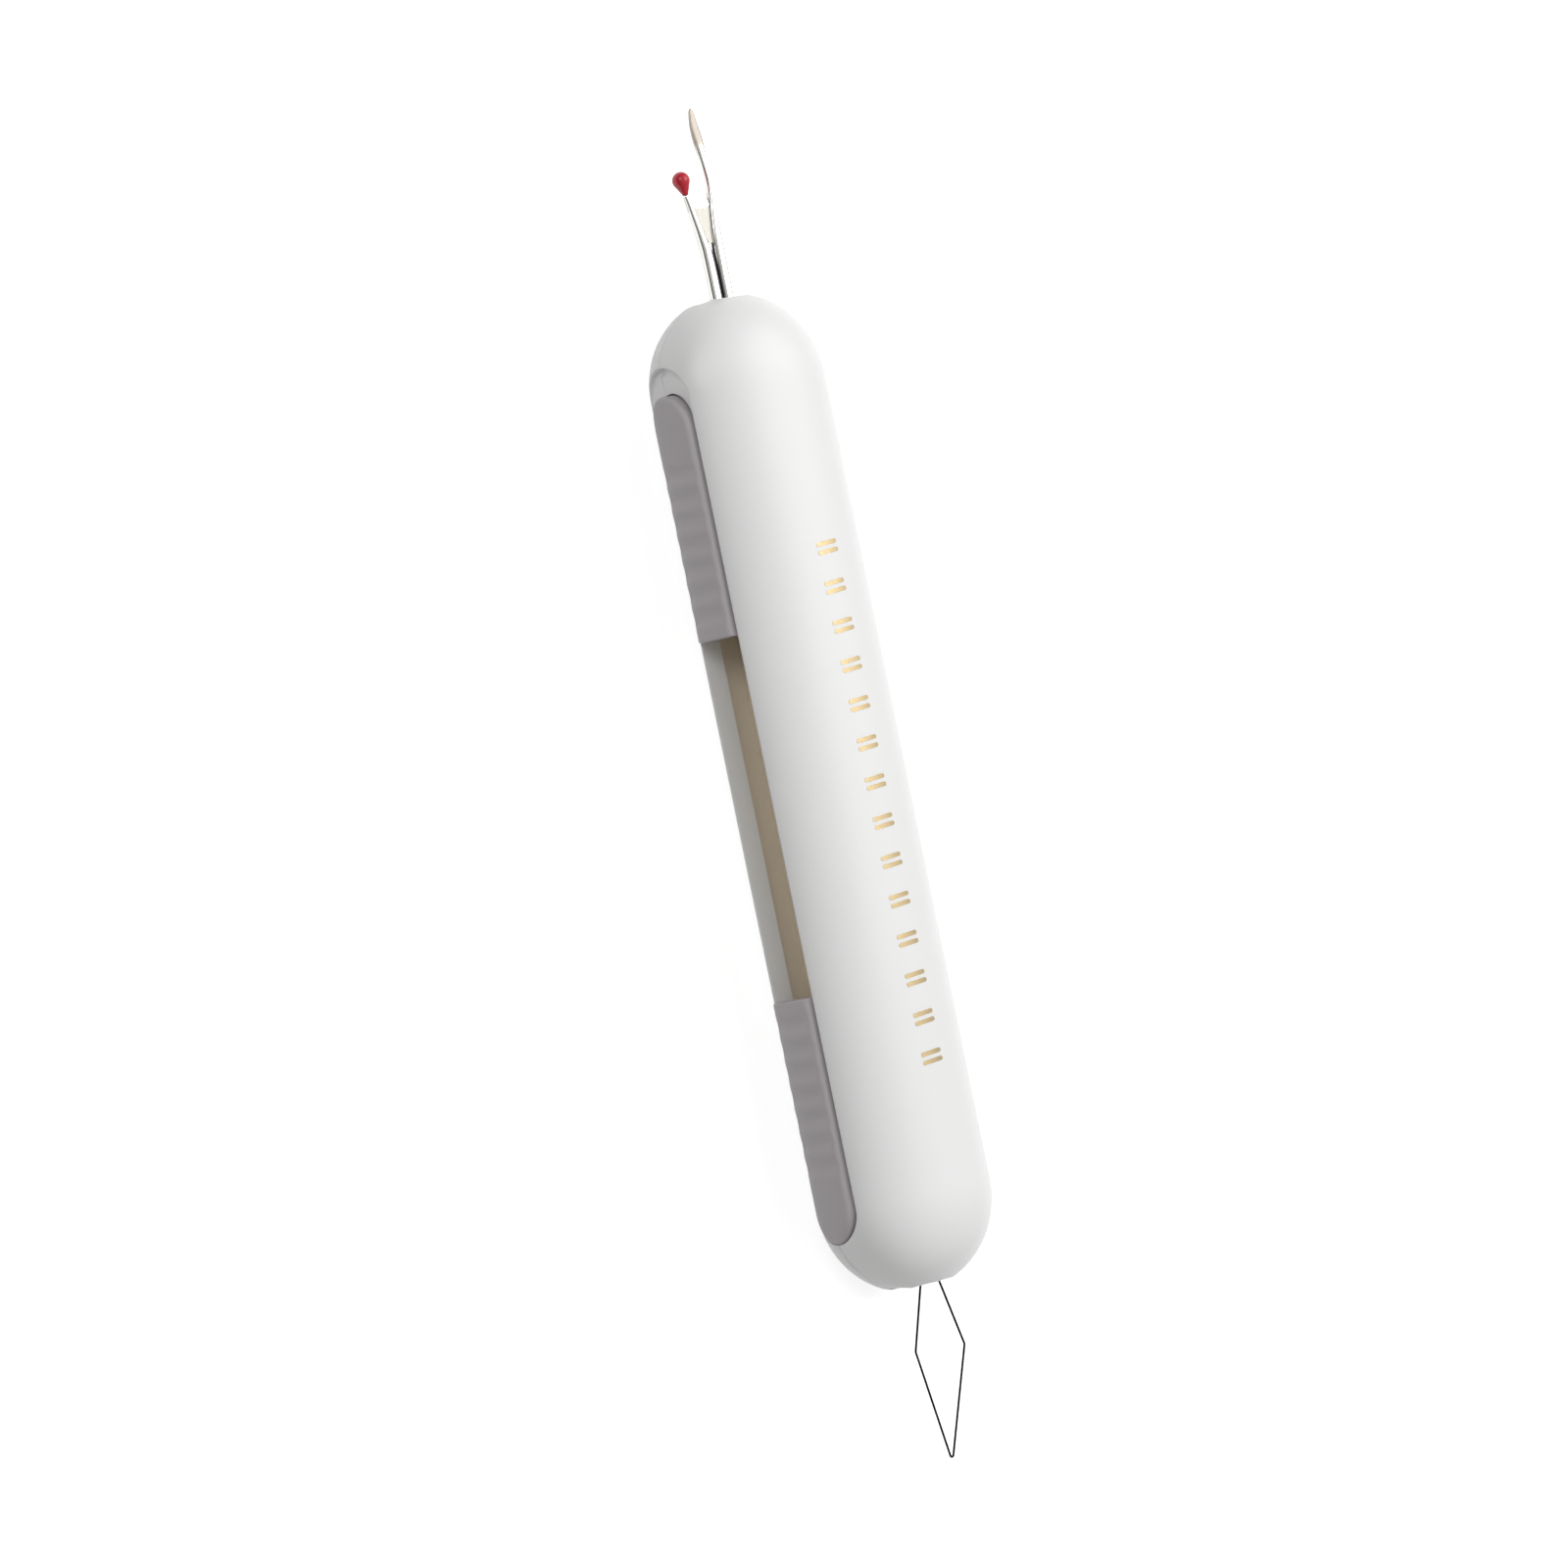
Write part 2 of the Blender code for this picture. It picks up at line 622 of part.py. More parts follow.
def ripper_carriage(surface, frame):
    flat = ripper_button_flat()
    spring_y = spring_middles()[0]
    block, outer = carriage("ripper_carriage", flat, 1, RIPPER_CARRIAGE_LENGTH, spring_y)
    half_width = TANG_WIDTH / 2 + CLEARANCE
    half_height = TANG_THICKNESS / 2 + CLEARANCE
    xs = (RIPPER_X - half_width, RIPPER_X + half_width)
    ys = (outer - TANG_IN_CARRIAGE - CLEARANCE, outer + WALL)
    cut(block, box("ripper_tang_pocket", xs, ys, (-half_height, half_height)))
    peg_y = outer - TANG_IN_CARRIAGE / 2
    peg_radius = TANG_HOLE_RADIUS - CLEARANCE
    h = CARRIAGE_HEIGHT / 2 - 2 * CLEARANCE
    join(block, cylinder_along_z("ripper_tang_peg", RIPPER_X, peg_y, peg_radius, -h, h))
    return finish(block, surface, frame)


def threader_carriage(surface, frame):
    flat = threader_button_flat()
    spring_y = spring_middles()[1]
    block, outer = carriage("threader_carriage", flat, -1, THREADER_CARRIAGE_LENGTH, spring_y)
    half_width, half_height = ferrule_half_sizes()
    xs = (LOOP_X - half_width - CLEARANCE, LOOP_X + half_width + CLEARANCE)
    ys = (outer + FERRULE_IN_CARRIAGE + CLEARANCE, outer - WALL)
    hs = (-half_height - CLEARANCE, half_height + CLEARANCE)
    cut(block, box("ferrule_pocket", xs, ys, hs))
    return finish(block, surface, frame)


def detent_spring(name, middle_y, surface, frame):
    """A bowed leaf with both ends in the carriage's pocket and its crown by the rail."""
    half = SPRING_WIDTH / 2
    base = CARRIAGE_RIGHT - SPRING_POCKET_DEPTH + SMALL_CLEARANCE + SPRING_THICKNESS
    rise = CARRIAGE_RIGHT + SPRING_CROWN - base
    rings = []
    steps = 14
    for i in range(steps + 1):
        along = SPRING_LENGTH * (i / steps - 0.5)
        x = base + rise * math.cos(math.pi * along / SPRING_LENGTH) ** 2
        y = middle_y + along
        inner = x - SPRING_THICKNESS
        rings.append([at(inner, y, -half), at(x, y, -half), at(x, y, half), at(inner, y, half)])
    return finish(skin(name, rings), surface, frame)


# ---------------------------------------------------------------- seam ripper


def smooth_run(keys, steps):
    """Catmull-Rom curve through tuples of numbers, with steps pieces between two keys."""
    run = []
    for i in range(len(keys) - 1):
        before = keys[max(i - 1, 0)]
        a, b = keys[i], keys[i + 1]
        after = keys[min(i + 2, len(keys) - 1)]
        for j in range(steps):
            t = j / steps
            point = []
            for p0, p1, p2, p3 in zip(before, a, b, after):
                bend = (p2 - p0) * t
                bend += (2 * p0 - 5 * p1 + 4 * p2 - p3) * t**2
                bend += (3 * p1 - p0 - 3 * p2 + p3) * t**3
                point.append(p1 + bend / 2)
            run.append(tuple(point))
    run.append(keys[-1])
    return run


def bar(name, keys, steps=3, sides=12):
    """A bar with oval sections: keys hold (x, distance out of the body, half width, half height)."""
    rings = []
    for x, out, half_width, half_height in smooth_run(keys, steps):
        ring = []
        for u, v in circle(1.0, sides):
            ring.append(at(RIPPER_X + x + half_width * u, HALF_LENGTH + out, half_height * v))
        rings.append(ring)
    return skin(name, rings)


def web(name):
    """The thin plate between the prongs, ground from both sides to a hollow sharp edge."""
    half = WEB_THICKNESS / 2
    edge = WEB_EDGE_THICKNESS / 2
    steps = 8
    rings = []
    for h, back in ((-half, WEB_BEVEL), (-edge, 0.0), (edge, 0.0), (half, WEB_BEVEL)):
        ring = []
        for x in (-WEB_FOOT_WIDTH / 2, WEB_FOOT_WIDTH / 2):
            ring.append(at(RIPPER_X + x, HALF_LENGTH + WEB_START, h))
        for i in range(steps + 1):
            share = 1 - i / steps
            x = WEB_LEFT + (WEB_RIGHT - WEB_LEFT) * share
            dip = WEB_HOLLOW * math.sin(math.pi * share)
            ring.append(at(RIPPER_X + x, HALF_LENGTH + WEB_EDGE - dip - back, h))
        rings.append(ring)
    return skin(name, rings)


def ripper_blade(surface, frame):
    half = STEM_WIDTH / 4
    thick = STEM_THICKNESS / 2
    long_prong = [
        (half, -STEM_INSIDE, half, thick),
        (half, WEB_START - 1.2 * MM, half, thick),
        (0.9 * MM, 8.0 * MM, 0.50 * MM, 0.52 * MM),
        (1.14 * MM, 9.9 * MM, 0.38 * MM, 0.48 * MM),
        (1.22 * MM, 12.0 * MM, 0.34 * MM, 0.42 * MM),
        (1.10 * MM, 14.6 * MM, 0.50 * MM, 0.38 * MM),
        (0.95 * MM, 16.5 * MM, 0.53 * MM, 0.34 * MM),
        (0.86 * MM, 17.7 * MM, 0.42 * MM, 0.27 * MM),
        (0.92 * MM, 18.6 * MM, 0.20 * MM, 0.17 * MM),
        (0.96 * MM, RIPPER_OUT, 0.04 * MM, 0.04 * MM),
    ]
    short_prong = [
        (-half, -STEM_INSIDE, half, thick),
        (-half, WEB_START - 2.2 * MM, half, thick),
        (-1.00 * MM, 5.8 * MM, 0.50 * MM, 0.54 * MM),
        (-1.40 * MM, 8.0 * MM, 0.40 * MM, 0.46 * MM),
        (-1.66 * MM, 9.6 * MM, 0.34 * MM, 0.36 * MM),
        (-1.86 * MM, 10.7 * MM, 0.20 * MM, 0.20 * MM),
        (-2.03 * MM, 12.0 * MM, PRONG_TIP_RADIUS, PRONG_TIP_RADIUS),
    ]
    blade = bar("ripper_blade", long_prong)
    join(blade, bar("ripper_short_prong", short_prong))
    join(blade, web("ripper_web"))
    outer = ripper_button_flat() + CARRIAGE_SETBACK + RIPPER_CARRIAGE_LENGTH
    ys = (outer - TANG_IN_CARRIAGE, HALF_LENGTH - STEM_INSIDE + WALL)
    xs = (RIPPER_X - TANG_WIDTH / 2, RIPPER_X + TANG_WIDTH / 2)
    hs = (-TANG_THICKNESS / 2, TANG_THICKNESS / 2)
    join(blade, box("ripper_tang", xs, ys, hs))
    hole_y = outer - TANG_IN_CARRIAGE / 2
    hole = cylinder_along_z(
        "ripper_tang_hole", RIPPER_X, hole_y, TANG_HOLE_RADIUS, -TANG_WIDTH, TANG_WIDTH
    )
    cut(blade, hole)
    return finish(blade, surface, frame)


def ripper_ball(surface, frame):
    """A drop-shaped ball with a blind hole in its tail for the end of the short prong."""
    bore = PRONG_TIP_RADIUS + 1.5 * SMALL_CLEARANCE
    profile = [(0.0, BALL_RADIUS)]
    for degrees in range(75, -31, -15):
        a = math.radians(degrees)
        profile.append((BALL_RADIUS * math.cos(a), BALL_RADIUS * math.sin(a)))
    profile.append((1.2 * BALL_TAIL_RADIUS, -0.78 * BALL_TAIL))
    profile.append((BALL_TAIL_RADIUS, -BALL_TAIL))
    profile.append((bore, -BALL_TAIL))
    profile.append((bore, SMALL_CLEARANCE * 2))
    profile.append((0.0, SMALL_CLEARANCE * 2))
    sides = 18
    rings = []
    for i in range(sides):
        turn = math.tau * i / sides
        ring = []
        for r, along in profile:
            u = r * math.cos(turn)
            x = u * math.cos(BALL_LEAN) - along * math.sin(BALL_LEAN)
            y = u * math.sin(BALL_LEAN) + along * math.cos(BALL_LEAN)
            place = at(RIPPER_X + BALL_X + x, HALF_LENGTH + BALL_OUT + y, r * math.sin(turn))
            ring.append(place)
        rings.append(ring)
    ball = skin("ripper_ball", rings, closed_rings=False, closed_run=True, capped=False)
    return finish(ball, surface, frame, smooth_angle=50)


# ---------------------------------------------------------------- needle threader


def ferrule_half_sizes():
    half_width = WIRE_SPACING / 2 + WIRE_RADIUS + SMALL_CLEARANCE + FERRULE_WALL
    return half_width, WIRE_RADIUS + SMALL_CLEARANCE + FERRULE_WALL


def threader_ends():
    """Where the carriage, the ferrule and the wire begin and end along the body."""
    carriage_end = threader_button_flat() - CARRIAGE_SETBACK - THREADER_CARRIAGE_LENGTH
    ferrule_in = carriage_end + FERRULE_IN_CARRIAGE
    return ferrule_in, ferrule_in - FERRULE_LENGTH


def threader_ferrule(surface, frame):
    half_width, half_height = ferrule_half_sizes()
    start, end = threader_ends()
    outline = [(LOOP_X + u, v) for u, v in stadium(half_width, half_height, 6)]
    sleeve = prism_along_y("threader_ferrule", outline, start, end)
    bore = [
        (LOOP_X + u, v)
        for u, v in stadium(half_width - FERRULE_WALL, half_height - FERRULE_WALL, 6)
    ]
    cut(sleeve, prism_along_y("ferrule_bore", bore, start + WALL, end - WALL))
    return finish(sleeve, surface, frame)


def rounded_path(corners, radii, steps=5):
    """The corner points (x, y) with an arc of the given radius at each inner one."""
    path = [Vector(corners[0])]
    for before, corner, after, radius in zip(corners, corners[1:], corners[2:], radii):
        corner = Vector(corner)
        back = (Vector(before) - corner).normalized()
        on = (Vector(after) - corner).normalized()
        half = back.angle(on) / 2
        middle = corner + (back + on).normalized() * (radius / math.sin(half))
        start = corner + back * (radius / math.tan(half))
        end = corner + on * (radius / math.tan(half))
        first = math.atan2(*(start - middle).yx)
        sweep = math.atan2(*(end - middle).yx) - first
        sweep = (sweep + math.pi) % math.tau - math.pi
        for i in range(steps + 1):
            a = first + sweep * i / steps
            path.append(middle + Vector((math.cos(a), math.sin(a))) * radius)
    path.append(Vector(corners[-1]))
    return path


def threader_wire_loop(surface, frame):
    """The diamond of spring wire, with both ends side by side in the ferrule."""
    start, end = threader_ends()
    wire_end = end + WIRE_IN_FERRULE
    leg = WIRE_SPACING / 2
    corner_y = -HALF_LENGTH - LOOP_CORNER_OUT
    tip = (LOOP_X + LOOP_TIP_SHIFT, -HALF_LENGTH - LOOP_OUT)
    corner_x = LOOP_X + LOOP_CORNER_SHIFT
    corners = [
        (LOOP_X - leg, wire_end),
        (LOOP_X - leg, end - SMALL_CLEARANCE),
        (corner_x - LOOP_WIDTH / 2, corner_y),
        tip,
        (corner_x + LOOP_WIDTH / 2, corner_y),
        (LOOP_X + leg, end - SMALL_CLEARANCE),
        (LOOP_X + leg, wire_end),
    ]
    bend = LOOP_CORNER_RADIUS
    path = rounded_path(corners, (bend, bend, LOOP_TIP_RADIUS, bend, bend))
    rings = []
    for i, place in enumerate(path):
        along = (path[min(i + 1, len(path) - 1)] - path[max(i - 1, 0)]).normalized()
        side = Vector((along.y, -along.x))
        ring = []
        for u, v in circle(WIRE_RADIUS, 8, math.pi / 8):
            spot = place + side * u
            ring.append(at(spot.x, spot.y, v))
        rings.append(ring)
    return finish(skin("threader_wire_loop", rings), surface, frame)


# ---------------------------------------------------------------- the whole tool


def main():
    clear_scene()
    white = material("white_body_plastic", "#F3F3F2", 0.35)
    grey = material("grey_button_plastic", "#BDB8BA", 0.5)
    natural = material("natural_carriage_plastic", "#E9E2D2", 0.45)
    steel = material("polished_ripper_steel", "#C9CACC", 0.25, 1.0)
    red = material("red_ball_plastic", "#D01F35", 0.3)
    spring = material("spring_steel", "#9A9B9E", 0.3, 1.0)
    brass = material("plated_ferrule", "#C8C3B4", 0.3, 1.0)
    wire = material("dark_threader_wire", "#2B2A2A", 0.4, 1.0)

    front_shell(white)
    back_shell(white)

    ripper = slide_frame("ripper_slide")
    flat = ripper_button_flat()
    slide_button("ripper_button", flat, 1, peg_places(flat, 1), grey, ripper)
    ripper_carriage(natural, ripper)
    detent_spring("ripper_detent_spring", spring_middles()[0], spring, ripper)
    ripper_blade(steel, ripper)
    ripper_ball(red, ripper)

    threader = slide_frame("threader_slide")
    flat = threader_button_flat()
    slide_button("threader_button", flat, -1, peg_places(flat, -1), grey, threader)
    threader_carriage(natural, threader)
    detent_spring("threader_detent_spring", spring_middles()[1], spring, threader)
    threader_ferrule(brass, threader)
    threader_wire_loop(wire, threader)


main()
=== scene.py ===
"""Retractable seam ripper and needle threader, with its finished surfaces.

The tool lies on its back. +Z is up through its thickness, +Y runs along the body towards the
ripper, and the two slide buttons sit in the slot on the -X side. A height called h is measured
from the parting plane between the two shells.
"""

import json
import math

import bmesh
import bpy
import numpy as np
from bpy.props import FloatProperty, FloatVectorProperty, IntProperty, PointerProperty
from mathutils import Matrix, Vector


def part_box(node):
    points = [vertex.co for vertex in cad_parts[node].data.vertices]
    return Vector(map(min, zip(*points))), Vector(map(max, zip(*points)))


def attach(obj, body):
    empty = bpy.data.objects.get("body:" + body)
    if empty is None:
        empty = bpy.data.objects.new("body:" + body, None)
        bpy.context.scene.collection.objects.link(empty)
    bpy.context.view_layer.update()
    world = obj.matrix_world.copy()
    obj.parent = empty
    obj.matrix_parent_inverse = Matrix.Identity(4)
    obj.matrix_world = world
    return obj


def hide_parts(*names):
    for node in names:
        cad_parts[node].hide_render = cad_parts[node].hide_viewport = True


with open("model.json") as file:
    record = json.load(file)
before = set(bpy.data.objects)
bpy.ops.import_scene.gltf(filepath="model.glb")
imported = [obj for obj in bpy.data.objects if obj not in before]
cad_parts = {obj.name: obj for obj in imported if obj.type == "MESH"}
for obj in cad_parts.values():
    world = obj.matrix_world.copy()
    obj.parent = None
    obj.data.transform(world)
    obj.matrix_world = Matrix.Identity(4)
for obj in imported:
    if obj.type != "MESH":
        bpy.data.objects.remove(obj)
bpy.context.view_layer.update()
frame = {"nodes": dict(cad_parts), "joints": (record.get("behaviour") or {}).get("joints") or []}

bl_info = {
    "name": "Seam ripper and needle threader",
    "version": (1, 0, 0),
    "blender": (4, 5, 0),
    "location": "3D View > Sidebar > Sewing tool",
    "description": "Builds the finished pieces of a pocket sewing tool and its studio",
    "category": "Object",
}

MM = 0.001

# Sizes of the body, as the frame has them
BODY_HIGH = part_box("front_shell")[1]
HALF_LENGTH = BODY_HIGH[1]
HALF_WIDTH = BODY_HIGH[0]
HALF_THICKNESS = 6.5 * MM
PARTING_Z = BODY_HIGH[2] - HALF_THICKNESS
SECTION_POWER = 2.2  # 2 is an ellipse, more is fuller at the corners
LAND_DEPTH = HALF_THICKNESS - PARTING_Z  # how deep the flat that it lies on is cut
WALL = 1.65 * MM
LIP_THICKNESS = 0.7 * MM
LIP_DEPTH = 0.8 * MM
PARTING_GAP = 0.05 * MM  # finer than the frame's clearance, as it looks when clipped shut
LIP_EASE = 0.05 * MM
CLEARANCE = 0.3 * MM
SMALL_CLEARANCE = 0.1 * MM
INNER_HALF_WIDTH = HALF_WIDTH - WALL
INNER_HALF_THICKNESS = HALF_THICKNESS - WALL
CAP_CENTRE = HALF_LENGTH - HALF_WIDTH
RIPPER_TRAVEL, THREADER_TRAVEL = (abs(joint["range_m"][0]) for joint in frame["joints"])

# Slot, mouths and what stands inside the shells
SLOT_HALF_WIDTH = 3.3 * MM
SLOT_END = HALF_LENGTH - 6.55 * MM
RIPPER_SLOT_END = SLOT_END - 2.7 * MM  # the slot goes through as far as this
RECESS_FLOOR_X = -8.5 * MM  # and ends in a shallow recess with a flat floor
RECESS_EASE = 0.05 * MM
MOUTH_HEIGHT = 3.0 * MM
RIPPER_MOUTH_WIDTH = 7.4 * MM
THREADER_MOUTH_WIDTH = 8.4 * MM
GUIDE_X = -2.95 * MM
GUIDE_WIDTH = 1.0 * MM
GUIDE_TIP = 1.6 * MM
REST_RIB_X = 1.1 * MM
REST_RIB_TIP = 2.9 * MM
GUIDE_END_MARGIN = 5.0 * MM
STOP_WIDTH = 4.4 * MM
STOP_THICKNESS = 1.0 * MM
STOP_TIP = 1.3 * MM
RAIL_X = 4.7 * MM
RAIL_THICKNESS = 0.9 * MM
RAIL_TIP = 1.0 * MM
NOTCH_RADIUS = 1.2 * MM
NOTCH_DEPTH = 0.4 * MM
PEG_RADIUS = 0.7 * MM
PEG_LENGTH = 1.8 * MM
BOSS_RADIUS = 1.25 * MM
PEGS = 5
PEG_PITCH = 20.0 * MM
PEG_X = INNER_HALF_WIDTH - CLEARANCE - BOSS_RADIUS

# Slide buttons
RIPPER_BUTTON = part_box("ripper_button")
THREADER_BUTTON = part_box("threader_button")
BUTTON_LENGTH = RIPPER_BUTTON[1][1] - RIPPER_BUTTON[0][1]
BUTTON_HALF_WIDTH = (RIPPER_BUTTON[1][2] - RIPPER_BUTTON[0][2]) / 2
BUTTON_BACK = RIPPER_BUTTON[1][0]
BUTTON_PROUD = 0.15 * MM
BUTTON_ROUND_END = 3.6 * MM

# Seam ripper, measured from the end of the body where it leaves it
RIPPER_X = 0.24 * MM
RIPPER_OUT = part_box("ripper_blade")[1][1] - HALF_LENGTH
STEM_INSIDE = 7.5 * MM
STEM_WIDTH = 2.72 * MM
STEM_THICKNESS = 1.1 * MM
WEB_START = 5.4 * MM
WEB_EDGE = 10.2 * MM
WEB_BEVEL = 0.7 * MM
WEB_THICKNESS = 0.4 * MM
WEB_LEFT = -1.6 * MM
WEB_RIGHT = 1.0 * MM
WEB_FOOT = 0.3 * MM
WEB_HOLLOW = 0.5 * MM  # how deep its edge dips between the prongs
PRONG_WIDTH = 1.22 * MM  # each prong where both run side by side
PRONG_APART = STEM_WIDTH / 2 - PRONG_WIDTH / 2  # from the stem's middle to each prong's
GROOVE_FLOOR = 0.3 * MM  # thickness that the groove between them leaves
GROOVE_REACH = 0.55  # share of PRONG_APART that the groove's floor reaches into each prong
LONG_STRAIGHT = WEB_START - 1.2 * MM  # where each prong stops running straight
SHORT_STRAIGHT = WEB_START - 2.2 * MM
TIP_FLAT = 14.2 * MM  # where the long prong starts to flatten into its tip
TIP_FADE = 1.5 * MM
GRIND_LENGTH = 1.5 * MM
BALL_RADIUS = 0.92 * MM
BALL_TAIL = 1.5 * MM
BALL_X = -2.05 * MM
BALL_OUT = 12.12 * MM
BALL_LEAN = math.radians(8.0)
BALL_BORE = 0.26 * MM
TANG_HALF_WIDTH = 1.3 * MM
TANG_HALF_THICKNESS = 0.35 * MM
TANG_HOLE_RADIUS = 1.0 * MM
TANG_HOLE_PLACE = 11.7 * MM / 2  # from the tang's end

# Each prong past its straight run, in millimetres: x, how far out, half width, half thickness
LONG_PRONG = (
    (0.94, 8.0, 0.50, 0.52),
    (1.14, 9.9, 0.38, 0.48),
    (1.22, 12.0, 0.34, 0.42),
    (1.10, 14.6, 0.50, 0.36),
    (0.95, 16.5, 0.56, 0.28),
    (0.86, 17.7, 0.48, 0.20),
)
LONG_PRONG_TIP = (  # the same, but with the distance back from the very tip
    (0.86, 0.45, 0.30, 0.15),
    (0.88, 0.12, 0.17, 0.10),
    (0.88, 0.0, 0.06, 0.05),
)
SHORT_PRONG = (
    (-1.02, 5.8, 0.50, 0.54),
    (-1.40, 8.0, 0.40, 0.46),
    (-1.66, 9.6, 0.36, 0.38),
    (-1.81, 10.4, 0.33, 0.33),
    (-1.86, 10.75, 0.22, 0.22),
    (-2.03, 12.0, 0.19, 0.19),
)
BALL_NECK = (  # radius in millimetres, and how far down the tail as a share of its length
    (0.52, 0.70),
    (0.37, 0.90),
    (0.32, 1.0),
)

# Needle threader, measured from the end of the body where it leaves it
LOOP_X = 1.1 * MM
LOOP_OUT = 17.4 * MM
LOOP_WIDTH = 6.2 * MM
LOOP_CORNER_OUT = 6.2 * MM
LOOP_CORNER_SHIFT = -0.5 * MM
LOOP_CORNER_SKEW = 0.25 * MM
LOOP_TIP_SHIFT = -1.85 * MM
WIRE_SPACING = 1.1 * MM
WIRE_IN_FERRULE = 8.0 * MM

# How finely the forms are drawn
CAP_STEPS = 64
SECTION_STEPS = 40
STRAIGHT_STEPS = 22
CUTTER_STEPS = 24
RIB_STEP = 2.0 * MM  # longest piece of an inner rib, so that its root follows the wall
BUTTON_STEP = 0.16 * MM  # longest piece of a button, fine enough for its ribs
BUTTON_SIDES = 32
# Sections of the round ends, closer together towards the tip
BUTTON_END_DEGREES = (8, 16, 24, 32, 40, 47, 54, 60, 66, 71, 76, 80, 84, 87)
DASH_END_DEGREES = (18, 36, 54, 70, 82)
DASH_STEPS = 8
FOIL_WELD = 0.001 * MM
PRONG_STEPS = 8
PRONG_SIDES = 28
PRONG_POWER = 3.0  # as SECTION_POWER
BEND_STEPS = 12
PEG_SIDES = 24
NOTCH_SIDES = 32
TANG_STEPS = 6
TANG_HOLE_SIDES = 40
BALL_SIDES = 48
WIRE_SIDES = 16
TOUCHING = 0.01 * MM
TINY = 1e-7

# Studio. The lens and the sensor are in millimetres, the lights' sides in metres
VIEW_TILT = math.radians(35.0)
VIEW_TURN = math.radians(11.6)
VIEW_ACROSS = 3.55 * MM  # from the tool's middle line towards the slot
VIEW_ALONG = 1.6 * MM
VIEW_WIDTH = 160.0 * MM
LENS = 150.0
SENSOR = 36.0
SHEET_HALF = 1.2
SHEET_DROP = 0.02 * MM
SHEET_GLOW = 0.52
WORLD_LEAN = 0.4  # how much the room gets lighter away from the slot
WORLD_RANGE = {"From Min": 0.0, "From Max": 0.9, "To Min": 0.05, "To Max": 0.64}
WORLD_BELOW = 0.5
LIGHTS = (  # name, place, side, watts
    ("large_softbox", (0.53, 0.26, 0.675), 0.6, 3.7),
    ("side_reflector", (-0.50, 0.40, 0.64), 0.35, 1.5),
)

# Node kinds that every tree uses
MATH = "ShaderNodeMath"
COMBINE = "ShaderNodeCombineXYZ"


def linear(srgb_hex):
    """The linear colour of an sRGB hex value."""
    values = [int(srgb_hex[i : i + 2], 16) / 255 for i in (1, 3, 5)]
    return [v / 12.92 if v <= 0.04045 else ((v + 0.055) / 1.055) ** 2.4 for v in values]


# ---------------------------------------------------------------- sizes and colours to change


def length(name, description, millimetres):
    """A size that the sidebar shows, in millimetres here and metres there."""
    return FloatProperty(
        name=name,
        description=description,
        default=millimetres * MM,
        min=0.0,
        subtype="DISTANCE",
        unit="LENGTH",
        precision=5,
    )


def colour(name, description, srgb_hex):
    """A colour that the sidebar shows."""
    return FloatVectorProperty(
        name=name,
        description=description,
        default=linear(srgb_hex),
        min=0.0,
        max=1.0,
        size=3,
        subtype="COLOR",
    )


class ShellSizes(bpy.types.PropertyGroup):
    slot_edge: length("Slot edge", "Radius of the rounded edge of the slot", 0.3)
    mouth_edge: length("Mouth edge", "Radius of the rounded edges of both mouths", 0.25)
    rim_edge: length("Rim edge", "Radius where each shell turns into the parting gap", 0.06)


class ButtonSizes(bpy.types.PropertyGroup):
    rib_pitch: length("Rib pitch", "From one crest of the finger ribs to the next", 2.45)
    rib_depth: length("Rib depth", "How deep the finger ribs are", 0.3)
    first_rib: length("First rib", "From the flat end to the first crest", 1.2)
    grooves: IntProperty(
        name="Grooves", description="Number of grooves in each button", default=7, min=0, max=12
    )
    rib_fade: length("Rib fade", "How wide the ribs run out towards the long edges", 1.1)
    edge: length("Edge", "Radius of the long edges of each button", 0.45)
    end_edge: length("End edge", "Radius of the edge at the flat end", 0.25)


class FoilSizes(bpy.types.PropertyGroup):
    pairs: IntProperty(
        name="Pairs", description="Number of paired dashes in the row", default=14, min=1, max=40
    )
    pitch: length("Pitch", "From one pair to the next", 4.06)
    dash_length: length("Dash length", "Length of one dash", 2.75)
    dash_width: length("Dash width", "Width of one dash", 0.46)
    dash_spacing: length("Dash spacing", "Between the middles of the two dashes of a pair", 0.86)
    across: length("Across", "How far the row lies from the middle line", 2.4)
    start: length("Start", "Where the first pair lies, from the middle of the body", 24.3)
    thickness: length("Thickness", "Thickness of the foil", 0.03)
    slant: FloatProperty(
        name="Slant",
        description="How far each dash leans from straight across",
        default=math.radians(4.0),
        subtype="ANGLE",
        unit="ROTATION",
    )


class WireSizes(bpy.types.PropertyGroup):
    radius: length("Wire radius", "Half the thickness of the spring wire", 0.12)
    corner: length("Corner radius", "How tightly the wire is bent at the wide corners", 0.6)
    tip: length("Tip radius", "How tightly the wire is bent at the tip", 0.2)


class FinishColours(bpy.types.PropertyGroup):
    body: colour("Body", "The outside of both shells", "#F1F1F0")
    # Inside is a warm tint on the inward faces: painted warm shade for the dim, bounced light
    # inside the slot
    inner: colour("Inside", "The shade_painted inside of both shells", "#F1E7D6")
    button: colour("Buttons", "Both slide buttons", "#BAB5B7")
    carriage: colour("Carriages", "Natural plastic of the sliding blocks", "#E9E2D2")
    foil: colour("Foil", "The gold row on the front", "#BBA781")
    blade: colour("Blade", "Polished steel of the seam ripper", "#E2E1DD")
    ball: colour("Ball", "The ball on the short prong", "#C8142C")
    # near black as painted dark reflection, for the dark surroundings that the bright steel wire
    # mirrors
    wire: colour("Wire", "Dark spring wire of the threader", "#161514")
    spring: colour("Springs", "Leaf springs of both slides", "#9A9B9E")
    ferrule: colour("Ferrule", "Plated sleeve of the wire", "#C8C3B4")
    floor: colour("Floor", "The sheet that the tool lies on", "#FAFAFA")


# ---------------------------------------------------------------- nodes


